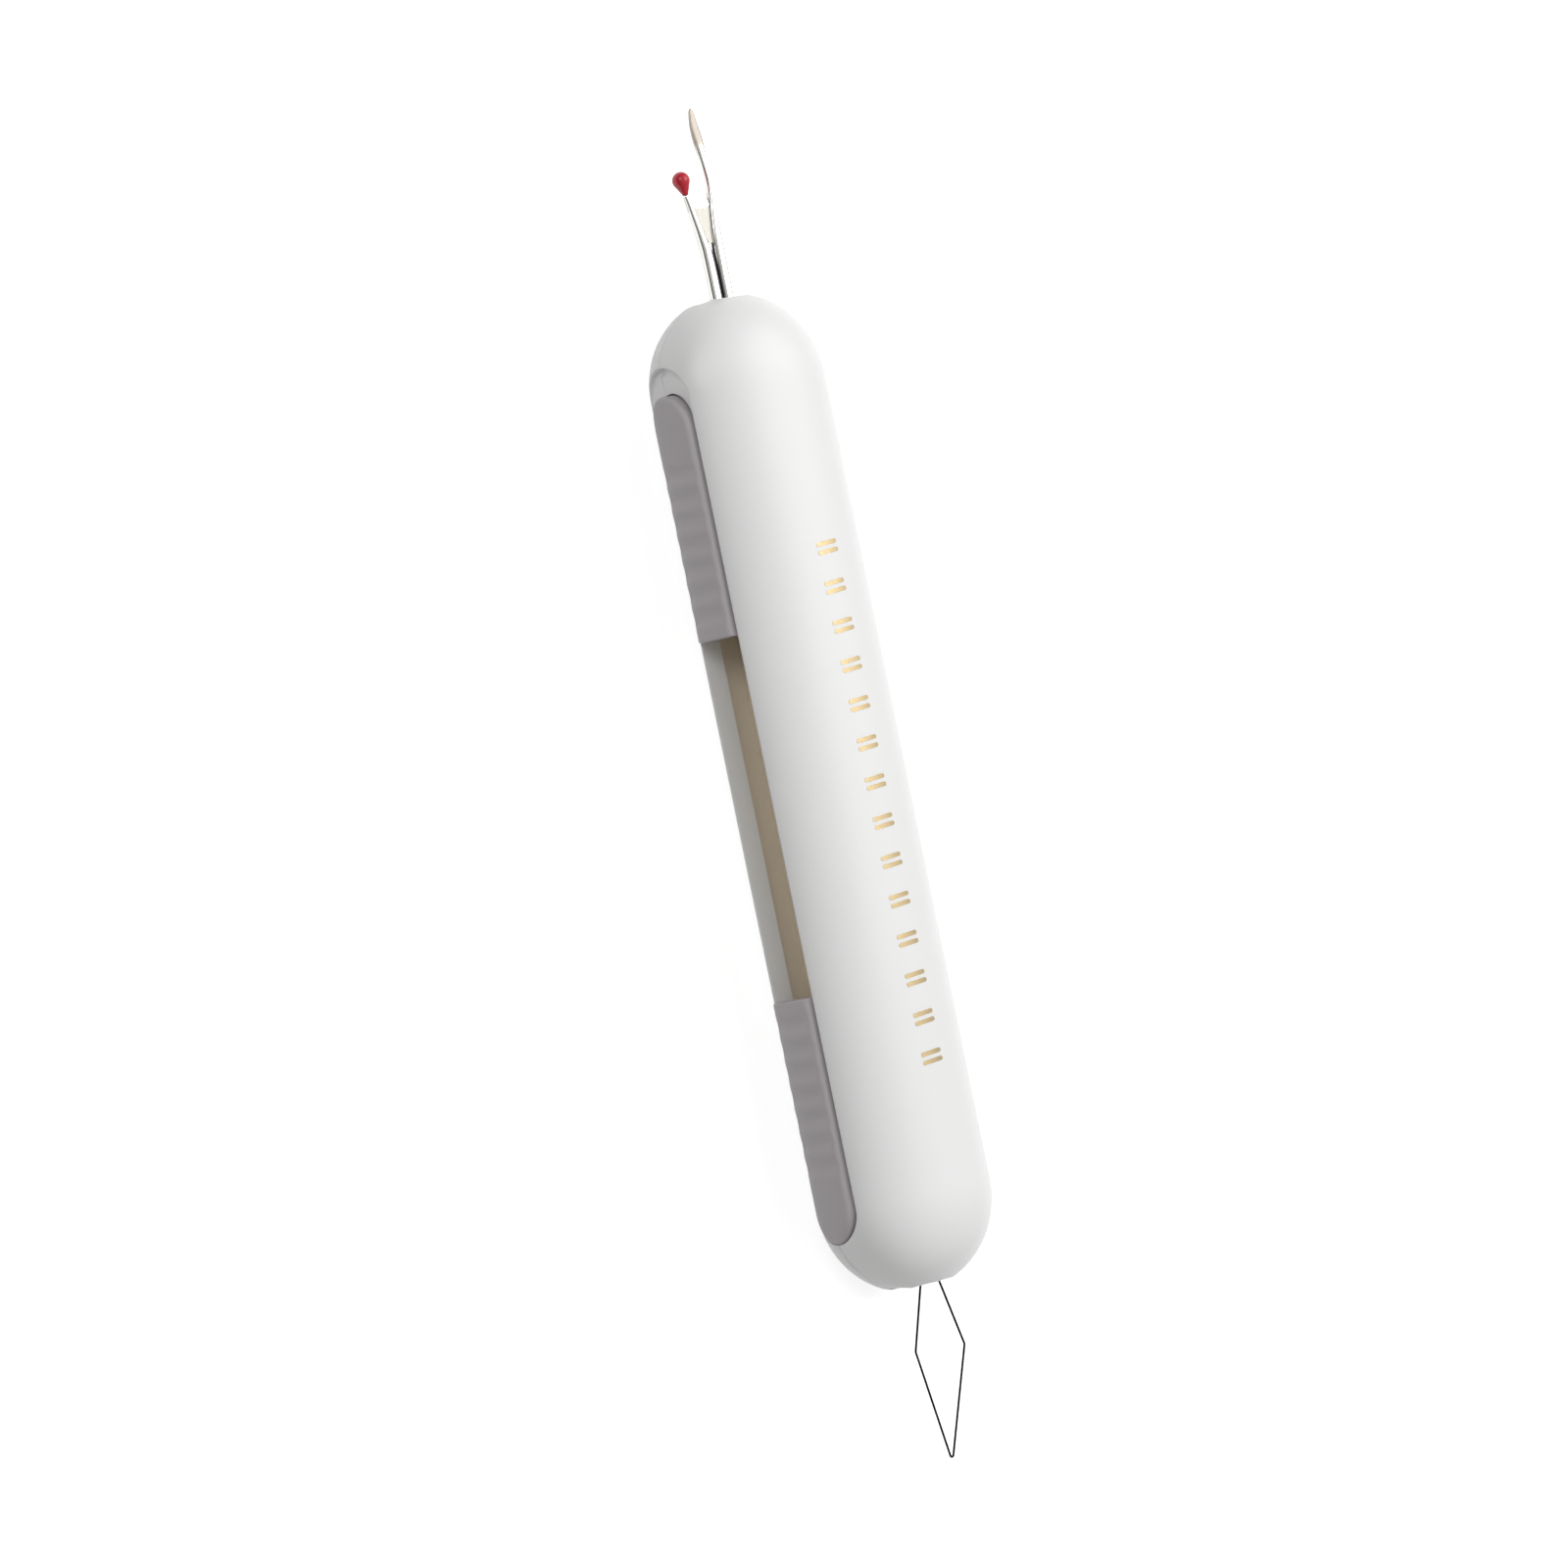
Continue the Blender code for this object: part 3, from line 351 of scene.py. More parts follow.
def add_node(tree, kind, inputs=None, **settings):
    """Adds one node with its settings.

    inputs gives a socket its value, the socket it reads or the node whose first output it reads.
    """
    made = tree.nodes.new(kind)
    for name, value in settings.items():
        setattr(made, name, value)
    for key, value in (inputs or {}).items():
        if isinstance(value, bpy.types.Node):
            value = value.outputs[0]
        if isinstance(value, bpy.types.NodeSocket):
            tree.links.new(value, made.inputs[key])
        else:
            made.inputs[key].default_value = value
    return made


def start_tree(name, sizes):
    """A Geometry Nodes tree with named inputs, and its input node."""
    tree = bpy.data.node_groups.new(name, "GeometryNodeTree")
    face = tree.interface
    face.new_socket("Geometry", in_out="INPUT", socket_type="NodeSocketGeometry")
    for label, kind in sizes.items():
        face.new_socket(label, in_out="INPUT", socket_type=f"NodeSocket{kind}")
    face.new_socket("Geometry", in_out="OUTPUT", socket_type="NodeSocketGeometry")
    return tree, add_node(tree, "NodeGroupInput").outputs


def end_tree(tree, geometry, surface):
    """Ends a tree in real meshes that carry their material."""
    real = add_node(tree, "GeometryNodeRealizeInstances", {"Geometry": geometry})
    coated = add_node(tree, "GeometryNodeSetMaterial", {"Geometry": real, "Material": surface})
    add_node(tree, "NodeGroupOutput", {"Geometry": coated})


def grow(obj, tree, values):
    """Runs a tree on the object with its inputs set, and keeps what it makes as a plain mesh."""
    modifier = obj.modifiers.new(tree.name, "NODES")
    modifier.node_group = tree
    sockets = {s.name: s.identifier for s in tree.interface.items_tree if s.in_out == "INPUT"}
    for label, value in values.items():
        modifier[sockets[label]] = value
    settle(obj)


# ---------------------------------------------------------------- meshes


def at(x, y, h):
    """The place of a point whose height h is measured from the parting plane."""
    return Vector((x, y, PARTING_Z + h))


def new_object(name, mesh):
    """An object at the origin that holds the mesh."""
    obj = bpy.data.objects.new(name, mesh)
    bpy.context.scene.collection.objects.link(obj)
    return obj


def settle(obj):
    """Turns an object and its modifiers into a plain mesh."""
    bpy.context.view_layer.update()
    graph = bpy.context.evaluated_depsgraph_get()
    mesh = bpy.data.meshes.new_from_object(
        obj.evaluated_get(graph), preserve_all_data_layers=True, depsgraph=graph
    )
    obj.modifiers.clear()
    old = obj.data
    obj.data = mesh
    bpy.data.meshes.remove(old)


def combine(target, tool, operation):
    """One exact Boolean, made at once. The tool is gone after it."""
    modifier = target.modifiers.new(operation.title(), "BOOLEAN")
    modifier.operation = operation
    modifier.solver = "EXACT"
    modifier.object = tool
    settle(target)
    bpy.data.objects.remove(tool, do_unlink=True)


def skin(name, rings, closed_rings=True, closed_run=False, capped=True):
    """A solid from a run of rings that hold the same number of points."""
    bm = bmesh.new()
    rows = [[bm.verts.new(point) for point in ring] for ring in rings]
    count = len(rows[0])
    for i in range(len(rows) if closed_run else len(rows) - 1):
        row, after = rows[i], rows[(i + 1) % len(rows)]
        for j in range(count if closed_rings else count - 1):
            k = (j + 1) % count
            bm.faces.new((row[j], row[k], after[k], after[j]))
    if capped:
        bm.faces.new(rows[0])
        bm.faces.new(rows[-1])
    bmesh.ops.remove_doubles(bm, verts=bm.verts, dist=TINY)
    bmesh.ops.recalc_face_normals(bm, faces=bm.faces)
    mesh = bpy.data.meshes.new(name)
    bm.to_mesh(mesh)
    bm.free()
    return new_object(name, mesh)


def prism_along_z(name, outline, h0, h1):
    """An upright prism. outline is a list of (x, y)."""
    return skin(name, [[at(x, y, h) for x, y in outline] for h in (h0, h1)])


def prism_along_y(name, outline, y0, y1):
    """A prism that lies along the body. outline is a list of (x, h)."""
    return skin(name, [[at(x, y, h) for x, h in outline] for y in (y0, y1)])


def circle(radius, count):
    """Points of a circle round the origin."""
    angles = [math.tau * i / count for i in range(count)]
    return [(radius * math.cos(a), radius * math.sin(a)) for a in angles]


def stadium(half_length, half_width, count):
    """A straight-sided outline with half-round ends, as (along, across)."""
    straight = half_length - half_width
    points = []
    for sign in (1, -1):
        for i in range(count + 1):
            a = math.pi * i / count - math.pi / 2
            along = straight + half_width * math.cos(a)
            points.append((sign * along, sign * half_width * math.sin(a)))
    return points


def grown(outline, distance):
    """The outline moved outwards by a distance, square to its own run."""
    moved = []
    count = len(outline)
    for i, (x, y) in enumerate(outline):
        before, after = outline[i - 1], outline[(i + 1) % count]
        run = Vector((after[0] - before[0], after[1] - before[1])).normalized()
        moved.append((x + run.y * distance, y - run.x * distance))
    return moved


def shade(obj, sharp_degrees):
    """Smooth shading that keeps the true edges and gives the broad faces the say."""
    obj.data.shade_smooth()
    obj.data.set_sharp_from_angle(angle=math.radians(sharp_degrees))
    modifier = obj.modifiers.new("Weighted normals", "WEIGHTED_NORMAL")
    modifier.keep_sharp = True
    settle(obj)


def point_values(obj, name, values):
    """Stores one number for each point of the mesh, for its material to read."""
    layer = obj.data.attributes.new(name, "FLOAT", "POINT")
    layer.data.foreach_set("value", np.asarray(values, np.float32))


def face_values(obj, name, test):
    """Stores 1 on each face whose middle (x, y, h) and direction pass the test."""
    layer = obj.data.attributes.new(name, "FLOAT", "FACE")
    for face in obj.data.polygons:
        middle = face.center - Vector((0.0, 0.0, PARTING_Z))
        layer.data[face.index].value = float(test(middle, face.normal))


def points_of(mesh):
    """The points of a mesh as (x, y, h)."""
    found = np.empty(len(mesh.vertices) * 3, np.float32)
    mesh.vertices.foreach_get("co", found)
    found = found.reshape(-1, 3).astype(float)
    found[:, 2] -= PARTING_Z
    return found


def finish_piece(obj, body, slot, *nodes):
    """Ties a finished piece to its body and hides the nodes it stands for. The slot is not used.
    """
    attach(obj, body)
    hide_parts(*nodes)


# ---------------------------------------------------------------- the oval body


def oval_height(r, half_width, half_thickness):
    """How high the section stands at a distance r from the middle."""
    share = min(1.0, abs(r) / half_width)
    return half_thickness * (1 - share**SECTION_POWER) ** (1 / SECTION_POWER)


def oval_reach(h, half_width, half_thickness):
    """How far the section reaches sideways at height h."""
    return oval_height(h, half_thickness, half_width)


def oval_arc(half_width, half_thickness, from_h=0.0, to_h=None):
    """Points (r, h) of a quarter of the section, from from_h up to the crown or a flat at to_h."""
    top = half_thickness if to_h is None else to_h
    low = math.asin((from_h / half_thickness) ** (SECTION_POWER / 2))
    high = math.asin((top / half_thickness) ** (SECTION_POWER / 2))
    points = []
    for i in range(SECTION_STEPS + 1):
        a = low + (high - low) * i / SECTION_STEPS
        h = half_thickness * math.sin(a) ** (2 / SECTION_POWER)
        points.append((oval_reach(h, half_width, half_thickness), h))
    if to_h is None:
        points[-1] = (0.0, half_thickness)
    else:
        points.append((0.0, top))
    return points


def oval_solid(name, profile, side):
    """Sweeps a profile (r, h), whose two ends lie on the middle line, round the whole oval."""
    places = []
    for sign in (1, -1):
        for i in range(CAP_STEPS + 1):
            a = math.pi * i / CAP_STEPS
            places.append((sign * math.cos(a), sign * math.sin(a), sign * CAP_CENTRE))
        for i in range(1, STRAIGHT_STEPS):
            middle = sign * CAP_CENTRE * (1 - 2 * i / STRAIGHT_STEPS)
            places.append((-sign, 0.0, middle))
    rings = [[at(r * u, y + r * v, side * h) for r, h in profile] for u, v, y in places]
    return skin(name, rings, closed_rings=False, closed_run=True, capped=False)


def rim_corner(radius):
    """The rounded corner between the outer skin and the parting gap, from outside to inside."""
    points = []
    low = PARTING_GAP / 2
    for degrees in range(90, -1, -18):
        a = math.radians(degrees)
        r = oval_reach(low + radius, HALF_WIDTH, HALF_THICKNESS) - radius * (1 - math.sin(a))
        points.append((r, low + radius - radius * math.cos(a)))
    return points


def front_profile(rim_edge):
    """The front shell's half section, with the lip that enters the back shell."""
    outer = oval_arc(HALF_WIDTH, HALF_THICKNESS, from_h=PARTING_GAP / 2 + rim_edge)
    inner = oval_arc(INNER_HALF_WIDTH, INNER_HALF_THICKNESS)
    lip = INNER_HALF_WIDTH + LIP_THICKNESS
    rim = [(lip, PARTING_GAP / 2), (lip, -LIP_DEPTH), (INNER_HALF_WIDTH, -LIP_DEPTH)]
    return outer[::-1] + rim_corner(rim_edge)[1:] + rim + inner


def back_profile(rim_edge):
    """The back shell's half section, with the rebate for the lip and the flat land."""
    land = HALF_THICKNESS - LAND_DEPTH
    rebate = LIP_DEPTH + LIP_EASE
    low = PARTING_GAP / 2 + rim_edge
    outer = oval_arc(HALF_WIDTH, HALF_THICKNESS, from_h=low, to_h=land)
    inner = oval_arc(INNER_HALF_WIDTH, INNER_HALF_THICKNESS, from_h=rebate)
    lip = INNER_HALF_WIDTH + LIP_THICKNESS + LIP_EASE
    rim = [(lip, PARTING_GAP / 2), (lip, rebate)]
    return outer[::-1] + rim_corner(rim_edge)[1:] + rim + inner


def body_side_x(h, y):
    """How far the body's own surface lies from the middle at height h and place y."""
    reach = oval_reach(h, HALF_WIDTH, HALF_THICKNESS)
    past = max(0.0, abs(y) - CAP_CENTRE)
    return math.sqrt(max(reach * reach - past * past, 0.0))


def body_end_y(h, x):
    """How far the body's own surface lies from its middle lengthwise, at height h and place x."""
    reach = oval_reach(h, HALF_WIDTH, HALF_THICKNESS)
    return CAP_CENTRE + math.sqrt(max(reach * reach - x * x, 0.0))


def flare(radius):
    """(outward, depth) of a cutter that leaves a rounded edge, from outside the skin inwards."""
    steps = [(5.0 * radius, -1.1 * radius)]  # wide and clear of the skin, which curves away
    for degrees in range(75, -1, -15):
        a = math.radians(degrees)
        steps.append((radius * (1 - math.cos(a)), radius * (1 - math.sin(a))))
    return steps


def recess_floor():
    """What the slot cutter leaves standing: a flat floor beyond the end of the through slot."""
    corners = [(-HALF_LENGTH, -HALF_WIDTH), (HALF_LENGTH, -HALF_WIDTH)]
    corners += [(y, -h) for y, h in reversed(corners)]
    floor = skin("floor", [[at(x, y, h) for y, h in corners] for x in (RECESS_FLOOR_X, 0.0)])
    middle = (RIPPER_SLOT_END - SLOT_END) / 2
    half_length = (RIPPER_SLOT_END + SLOT_END) / 2 + RECESS_EASE
    half_width = SLOT_HALF_WIDTH + RECESS_EASE
    outline = [(middle + y, h) for y, h in stadium(half_length, half_width, CUTTER_STEPS)]
    sides = (-HALF_WIDTH, HALF_WIDTH)
    through = skin("through", [[at(x, y, h) for y, h in outline] for x in sides])
    combine(floor, through, "DIFFERENCE")
    return floor


def with_long_sides_split(outline):
    """The outline with points along its long sides, so that a cutter can follow the oval."""
    dense = []
    for i, (y, h) in enumerate(outline):
        dense.append((y, h))
        after = outline[(i + 1) % len(outline)]
        if abs(after[0] - y) > HALF_WIDTH:
            for j in range(1, STRAIGHT_STEPS):
                t = j / STRAIGHT_STEPS
                dense.append((y + (after[0] - y) * t, h + (after[1] - h) * t))
    return dense


def slot_cutter(edge):
    """Goes right through the wall, except at the ripper end, where a flat floor stays."""
    outline = with_long_sides_split(stadium(SLOT_END, SLOT_HALF_WIDTH, CUTTER_STEPS))
    widest = grown(outline, flare(edge)[0][0])
    rings = [[at(-HALF_WIDTH - WALL, y, h) for y, h in widest]]
    for outward, depth in flare(edge):
        ring = grown(outline, outward)
        rings.append([at(-body_side_x(h, y) + depth, y, h) for y, h in ring])
    inner_x = 2 * CLEARANCE - oval_reach(SLOT_HALF_WIDTH, INNER_HALF_WIDTH, INNER_HALF_THICKNESS)
    rings.append([at(inner_x, y, h) for y, h in outline])
    cutter = skin("slot", rings)
    combine(cutter, recess_floor(), "DIFFERENCE")
    return cutter


def mouth_cutter(sign, width, edge):
    """Opens one end of the body, +1 for the ripper's and -1 for the threader's."""
    outline = stadium(width / 2, MOUTH_HEIGHT / 2, CUTTER_STEPS)
    widest = grown(outline, flare(edge)[0][0])
    rings = [[at(x, sign * (HALF_LENGTH + WALL), h) for x, h in widest]]
    for outward, depth in flare(edge):
        ring = grown(outline, outward)
        rings.append([at(x, sign * (body_end_y(h, x) - depth), h) for x, h in ring])
    rings.append([at(x, sign * (HALF_LENGTH - 2 * WALL), h) for x, h in outline])
    return skin("mouth", rings)


def inner_rib(name, x, width, y0, y1, tip, side):
    """A rib across the inside, whose root follows the middle of the wall."""
    wall_width = HALF_WIDTH - WALL / 2
    wall_thickness = HALF_THICKNESS - WALL / 2
    steps = max(1, round((y1 - y0) / RIB_STEP))
    rings = []
    for i in range(steps + 1):
        y = y0 + (y1 - y0) * i / steps
        past = max(0.0, abs(y) - CAP_CENTRE)
        ring = []
        for u in (x - width / 2, x + width / 2):
            ring.append(at(u, y, side * tip))
        for u in (x + width / 2, x, x - width / 2):
            root = oval_height(math.hypot(u, past), wall_width, wall_thickness)
            ring.append(at(u, y, side * root))
        rings.append(ring)
    return skin(name, rings)


def peg_tree():
    """Places one upright peg again and again along the body."""
    sizes = {"Pegs": "Int", "Pitch": "Float", "Across": "Float", "Material": "Material"}
    tree, given = start_tree("locating_pegs", sizes)
    gaps = add_node(tree, MATH, {0: given["Pegs"], 1: 1.0}, operation="SUBTRACT")
    span = add_node(tree, MATH, {0: gaps, 1: given["Pitch"]}, operation="MULTIPLY")
    first = add_node(tree, MATH, {0: span, 1: -0.5}, operation="MULTIPLY")
    start = add_node(tree, COMBINE, {"X": given["Across"], "Y": first})
    step = add_node(tree, COMBINE, {"Y": given["Pitch"]})
    row = {"Count": given["Pegs"], "Start Location": start, "Offset": step}
    line = add_node(tree, "GeometryNodeMeshLine", row)
    pegs = {"Points": line, "Instance": given["Geometry"]}
    placed = add_node(tree, "GeometryNodeInstanceOnPoints", pegs)
    end_tree(tree, placed, given["Material"])
    return tree


def peg_row(name, radius, h0, h1, surface):
    """A row of upright round pegs or holes along the far side of the slot."""
    row = prism_along_z(name, circle(radius, PEG_SIDES), h0, h1)
    row.data.materials.append(surface)
    values = {"Pegs": PEGS, "Pitch": PEG_PITCH, "Across": PEG_X, "Material": surface}
    grow(row, peg_tree(), values)
    return row


def boss_top():
    """Where the bosses of the pegs end inside the wall."""
    return oval_height(PEG_X + BOSS_RADIUS, HALF_WIDTH - WALL / 2, HALF_THICKNESS - WALL / 2)


def spring_middles():
    """Where the two leaf springs lie along the body."""
    boxes = [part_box("ripper_detent_spring"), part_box("threader_detent_spring")]
    return [(low[1] + high[1]) / 2 for low, high in boxes]


def stop_places():
    """Middles of the two end stops and of the centre stop, along the body."""
    beyond = CLEARANCE + STOP_THICKNESS / 2
    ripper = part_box("ripper_carriage")
    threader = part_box("threader_carriage")
    centre = (ripper[0][1] - RIPPER_TRAVEL + threader[1][1] + THREADER_TRAVEL) / 2
    return ripper[1][1] + beyond, centre, threader[0][1] - beyond


def finish_shell(shell, surface):
    """Exact normals on the outer skin, and a mark on each face that looks inwards, which carries
    the painted warm shade.
    """
    mesh = shell.data
    mesh.shade_smooth()
    mesh.set_sharp_from_angle(angle=math.radians(28))
    mesh.materials.clear()
    mesh.materials.append(surface)
    points = points_of(mesh)
    past = np.sign(points[:, 1]) * np.maximum(0, np.abs(points[:, 1]) - CAP_CENTRE)
    plan = np.hypot(points[:, 0], past)
    height = np.abs(points[:, 2])
    outer = (plan / HALF_WIDTH) ** SECTION_POWER + (height / HALF_THICKNESS) ** SECTION_POWER
    outward = (plan / HALF_WIDTH) ** (SECTION_POWER - 1) / HALF_WIDTH
    upward = (height / HALF_THICKNESS) ** (SECTION_POWER - 1) / HALF_THICKNESS
    upward = upward * np.sign(points[:, 2])
    safe = np.maximum(plan, TINY)
    normals = np.stack([outward * points[:, 0] / safe, outward * past / safe, upward], axis=1)
    normals /= np.maximum(np.linalg.norm(normals, axis=1, keepdims=True), TINY)
    on_skin = np.abs(outer - 1) < 0.003  # the section's formula gives 1 on the outer skin
    corners = np.array([tuple(item.vector) for item in mesh.corner_normals])
    for face in mesh.polygons:
        if all(on_skin[v] for v in face.vertices):
            for loop, vertex in zip(face.loop_indices, face.vertices):
                corners[loop] = normals[vertex]
    mesh.normals_split_custom_set([tuple(normal) for normal in corners])
    inner = (plan / INNER_HALF_WIDTH) ** SECTION_POWER
    inner += (height / INNER_HALF_THICKNESS) ** SECTION_POWER
    within = inner < 1.01  # and 1 on the inner one
    # the inward faces marked here are tinted warm: painted warm shade
    layer = mesh.attributes.new("inside", "FLOAT", "FACE")
    for face in mesh.polygons:
        layer.data[face.index].value = float(all(within[v] for v in face.vertices))


def make_shell(name, profile, side, sizes):
    """A shell with its slot, mouths and guide ribs. side is +1 for the front, -1 for the back."""
    shell = oval_solid(name, profile, side)
    combine(shell, slot_cutter(sizes.slot_edge), "DIFFERENCE")
    for sign, width in ((1, RIPPER_MOUTH_WIDTH), (-1, THREADER_MOUTH_WIDTH)):
        combine(shell, mouth_cutter(sign, width, sizes.mouth_edge), "DIFFERENCE")
    reach = HALF_LENGTH - GUIDE_END_MARGIN
    for x, tip in ((GUIDE_X, GUIDE_TIP), (REST_RIB_X, REST_RIB_TIP)):
        combine(shell, inner_rib("rib", x, GUIDE_WIDTH, -reach, reach, tip, side), "UNION")
    return shell


def make_front_shell(sizes, surface):
    """The shell that shows, with the pegs that find the back shell's sockets."""
    shell = make_shell("front_shell_skin", front_profile(sizes.rim_edge), 1, sizes)
    shoulder = RAIL_TIP + CLEARANCE
    combine(shell, peg_row("bosses", BOSS_RADIUS, shoulder, boss_top(), surface), "UNION")
    combine(shell, peg_row("pegs", PEG_RADIUS, -PEG_LENGTH, 2 * shoulder, surface), "UNION")
    finish_shell(shell, surface)
    return shell


def make_rail():
    """The rail of the back shell, with a notch for each spring at both ends of its travel."""
    reach = CAP_CENTRE + CLEARANCE
    middle = RAIL_X + RAIL_THICKNESS / 2
    rail = inner_rib("rail", middle, RAIL_THICKNESS, -reach, reach, -RAIL_TIP, -1)
    ripper, threader = spring_middles()
    x = RAIL_X + NOTCH_DEPTH - NOTCH_RADIUS
    top = RAIL_TIP + CLEARANCE
    for y in (ripper, ripper - RIPPER_TRAVEL, threader, threader + THREADER_TRAVEL):
        outline = [(x + u, y + v) for u, v in circle(NOTCH_RADIUS, NOTCH_SIDES)]
        combine(rail, prism_along_z("notch", outline, -top, top), "DIFFERENCE")
    return rail


def make_back_shell(sizes, surface):
    """The shell it lies on, with the stops, the notched rail and the sockets."""
    shell = make_shell("back_shell_skin", back_profile(sizes.rim_edge), -1, sizes)
    for y in stop_places():
        ends = (y - STOP_THICKNESS / 2, y + STOP_THICKNESS / 2)
        combine(shell, inner_rib("stop", REST_RIB_X, STOP_WIDTH, *ends, STOP_TIP, -1), "UNION")
    combine(shell, make_rail(), "UNION")
    bosses = peg_row("bosses", BOSS_RADIUS, -boss_top(), -PARTING_GAP / 2, surface)
    combine(shell, bosses, "UNION")
    low = -PEG_LENGTH - CLEARANCE
    combine(shell, peg_row("sockets", PEG_RADIUS + CLEARANCE, low, WALL, surface), "DIFFERENCE")
    finish_shell(shell, surface)
    return shell


# ---------------------------------------------------------------- slide buttons


def edge_drop(inward, radius):
    """How far a rounded edge has fallen at a distance inward from the side."""
    short = max(0.0, radius - max(0.0, inward))
    return radius - math.sqrt(radius * radius - short * short)


def button_stations(end_edge):
    """(distance from the flat end, half width) of each section of a button."""
    straight = BUTTON_LENGTH - BUTTON_ROUND_END
    places = [end_edge * (1 - math.cos(math.radians(degrees))) for degrees in range(0, 91, 15)]
    steps = round((straight - end_edge) / BUTTON_STEP)
    places += [end_edge + (straight - end_edge) * i / steps for i in range(1, steps + 1)]
    stations = [(s, BUTTON_HALF_WIDTH) for s in places]
    for degrees in BUTTON_END_DEGREES:
        a = math.radians(degrees)
        s = straight + BUTTON_ROUND_END * math.sin(a)
        stations.append((s, BUTTON_HALF_WIDTH * math.cos(a)))
    return stations


def rib_tree():
    """Presses round finger waves into the crown of a button."""
    lengths = ("Flat End", "Direction", "Rib Pitch", "Rib Depth", "First Rib", "Grooves")
    sizes = {**dict.fromkeys(lengths, "Float"), "Material": "Material"}
    tree, given = start_tree("finger_ribs", sizes)
    place = add_node(tree, "GeometryNodeInputPosition")
    phase = add_node(tree, "ShaderNodeSeparateXYZ", {0: place}).outputs["Y"]
    to_phase = (
        ("SUBTRACT", "Flat End"),
        ("MULTIPLY", "Direction"),
        ("SUBTRACT", "First Rib"),
        ("DIVIDE", "Rib Pitch"),
    )
    for operation, label in to_phase:
        phase = add_node(tree, MATH, {0: phase, 1: given[label]}, operation=operation)
    started = add_node(tree, MATH, {0: phase, 1: 0.0}, operation="GREATER_THAN")
    not_done = add_node(tree, MATH, {0: phase, 1: given["Grooves"]}, operation="LESS_THAN")
    crown = add_node(tree, "GeometryNodeInputNamedAttribute", {"Name": "crown"}, data_type="FLOAT")
    turn = add_node(tree, MATH, {0: phase, 1: math.tau}, operation="MULTIPLY")
    wave = add_node(tree, MATH, {0: turn}, operation="COSINE")
    drop = add_node(tree, MATH, {0: wave, 1: -0.5, 2: 0.5}, operation="MULTIPLY_ADD")
    for factor in (given["Rib Depth"], started, not_done, crown):
        drop = add_node(tree, MATH, {0: drop, 1: factor}, operation="MULTIPLY")
    move = add_node(tree, COMBINE, {"X": drop})
    pressed = add_node(
        tree, "GeometryNodeSetPosition", {"Geometry": given["Geometry"], "Offset": move}
    )
    end_tree(tree, pressed, given["Material"])
    return tree


def make_button(body, flat_y, direction, sizes, surface, tree):
    """A button whose crown follows the body's oval, from its flat end to its round one."""
    turns = [math.pi / 2 * (2 * i / BUTTON_SIDES - 1) for i in range(BUTTON_SIDES + 1)]
    rings = []
    for s, half in button_stations(sizes.end_edge):
        y = flat_y + direction * s
        past = max(0.0, s - (BUTTON_LENGTH - BUTTON_ROUND_END)) / BUTTON_ROUND_END
        end = edge_drop(s, sizes.end_edge)
        ring = []
        for turn in turns:
            h = half * math.sin(turn)
            inward = BUTTON_HALF_WIDTH * (1 - math.hypot(h / BUTTON_HALF_WIDTH, past))
            crown = body_side_x(h, y) + BUTTON_PROUD
            ring.append(at(-crown + edge_drop(inward, sizes.edge) + end, y, h))
        ring += [at(BUTTON_BACK, y, half), at(BUTTON_BACK, y, -half)]
        rings.append(ring)
    button = skin(f"{body}_button_ribbed", rings)
    button.data.materials.append(surface)
    points = points_of(button.data)
    inward = (BUTTON_HALF_WIDTH - np.abs(points[:, 2])) / sizes.rib_fade
    fade = np.clip(inward, 0, 1) * (points[:, 0] < BUTTON_BACK - TOUCHING)
    point_values(button, "crown", fade * fade * (3 - 2 * fade))
    values = {
        "Flat End": flat_y,
        "Direction": float(direction),
        "Rib Pitch": sizes.rib_pitch,
        "Rib Depth": sizes.rib_depth,
        "First Rib": sizes.first_rib,
        "Grooves": float(sizes.grooves),
        "Material": surface,
    }
    grow(button, tree, values)
    shade(button, 40.0)
    finish_piece(button, body, "grey_button_plastic", f"{body}_button")


# ---------------------------------------------------------------- gold row


def dash_outline(half_length, half_width):
    """(x, half width) of the sections of one dash with round ends."""
    straight = half_length - half_width
    ends = []
    for a in map(math.radians, DASH_END_DEGREES):
        ends.append((straight + half_width * math.sin(a), half_width * math.cos(a)))
    steps = [-straight + 2 * straight * i / DASH_STEPS for i in range(DASH_STEPS + 1)]
    middle = [(x, half_width) for x in steps]
    return [(-x, w) for x, w in reversed(ends)] + middle + ends


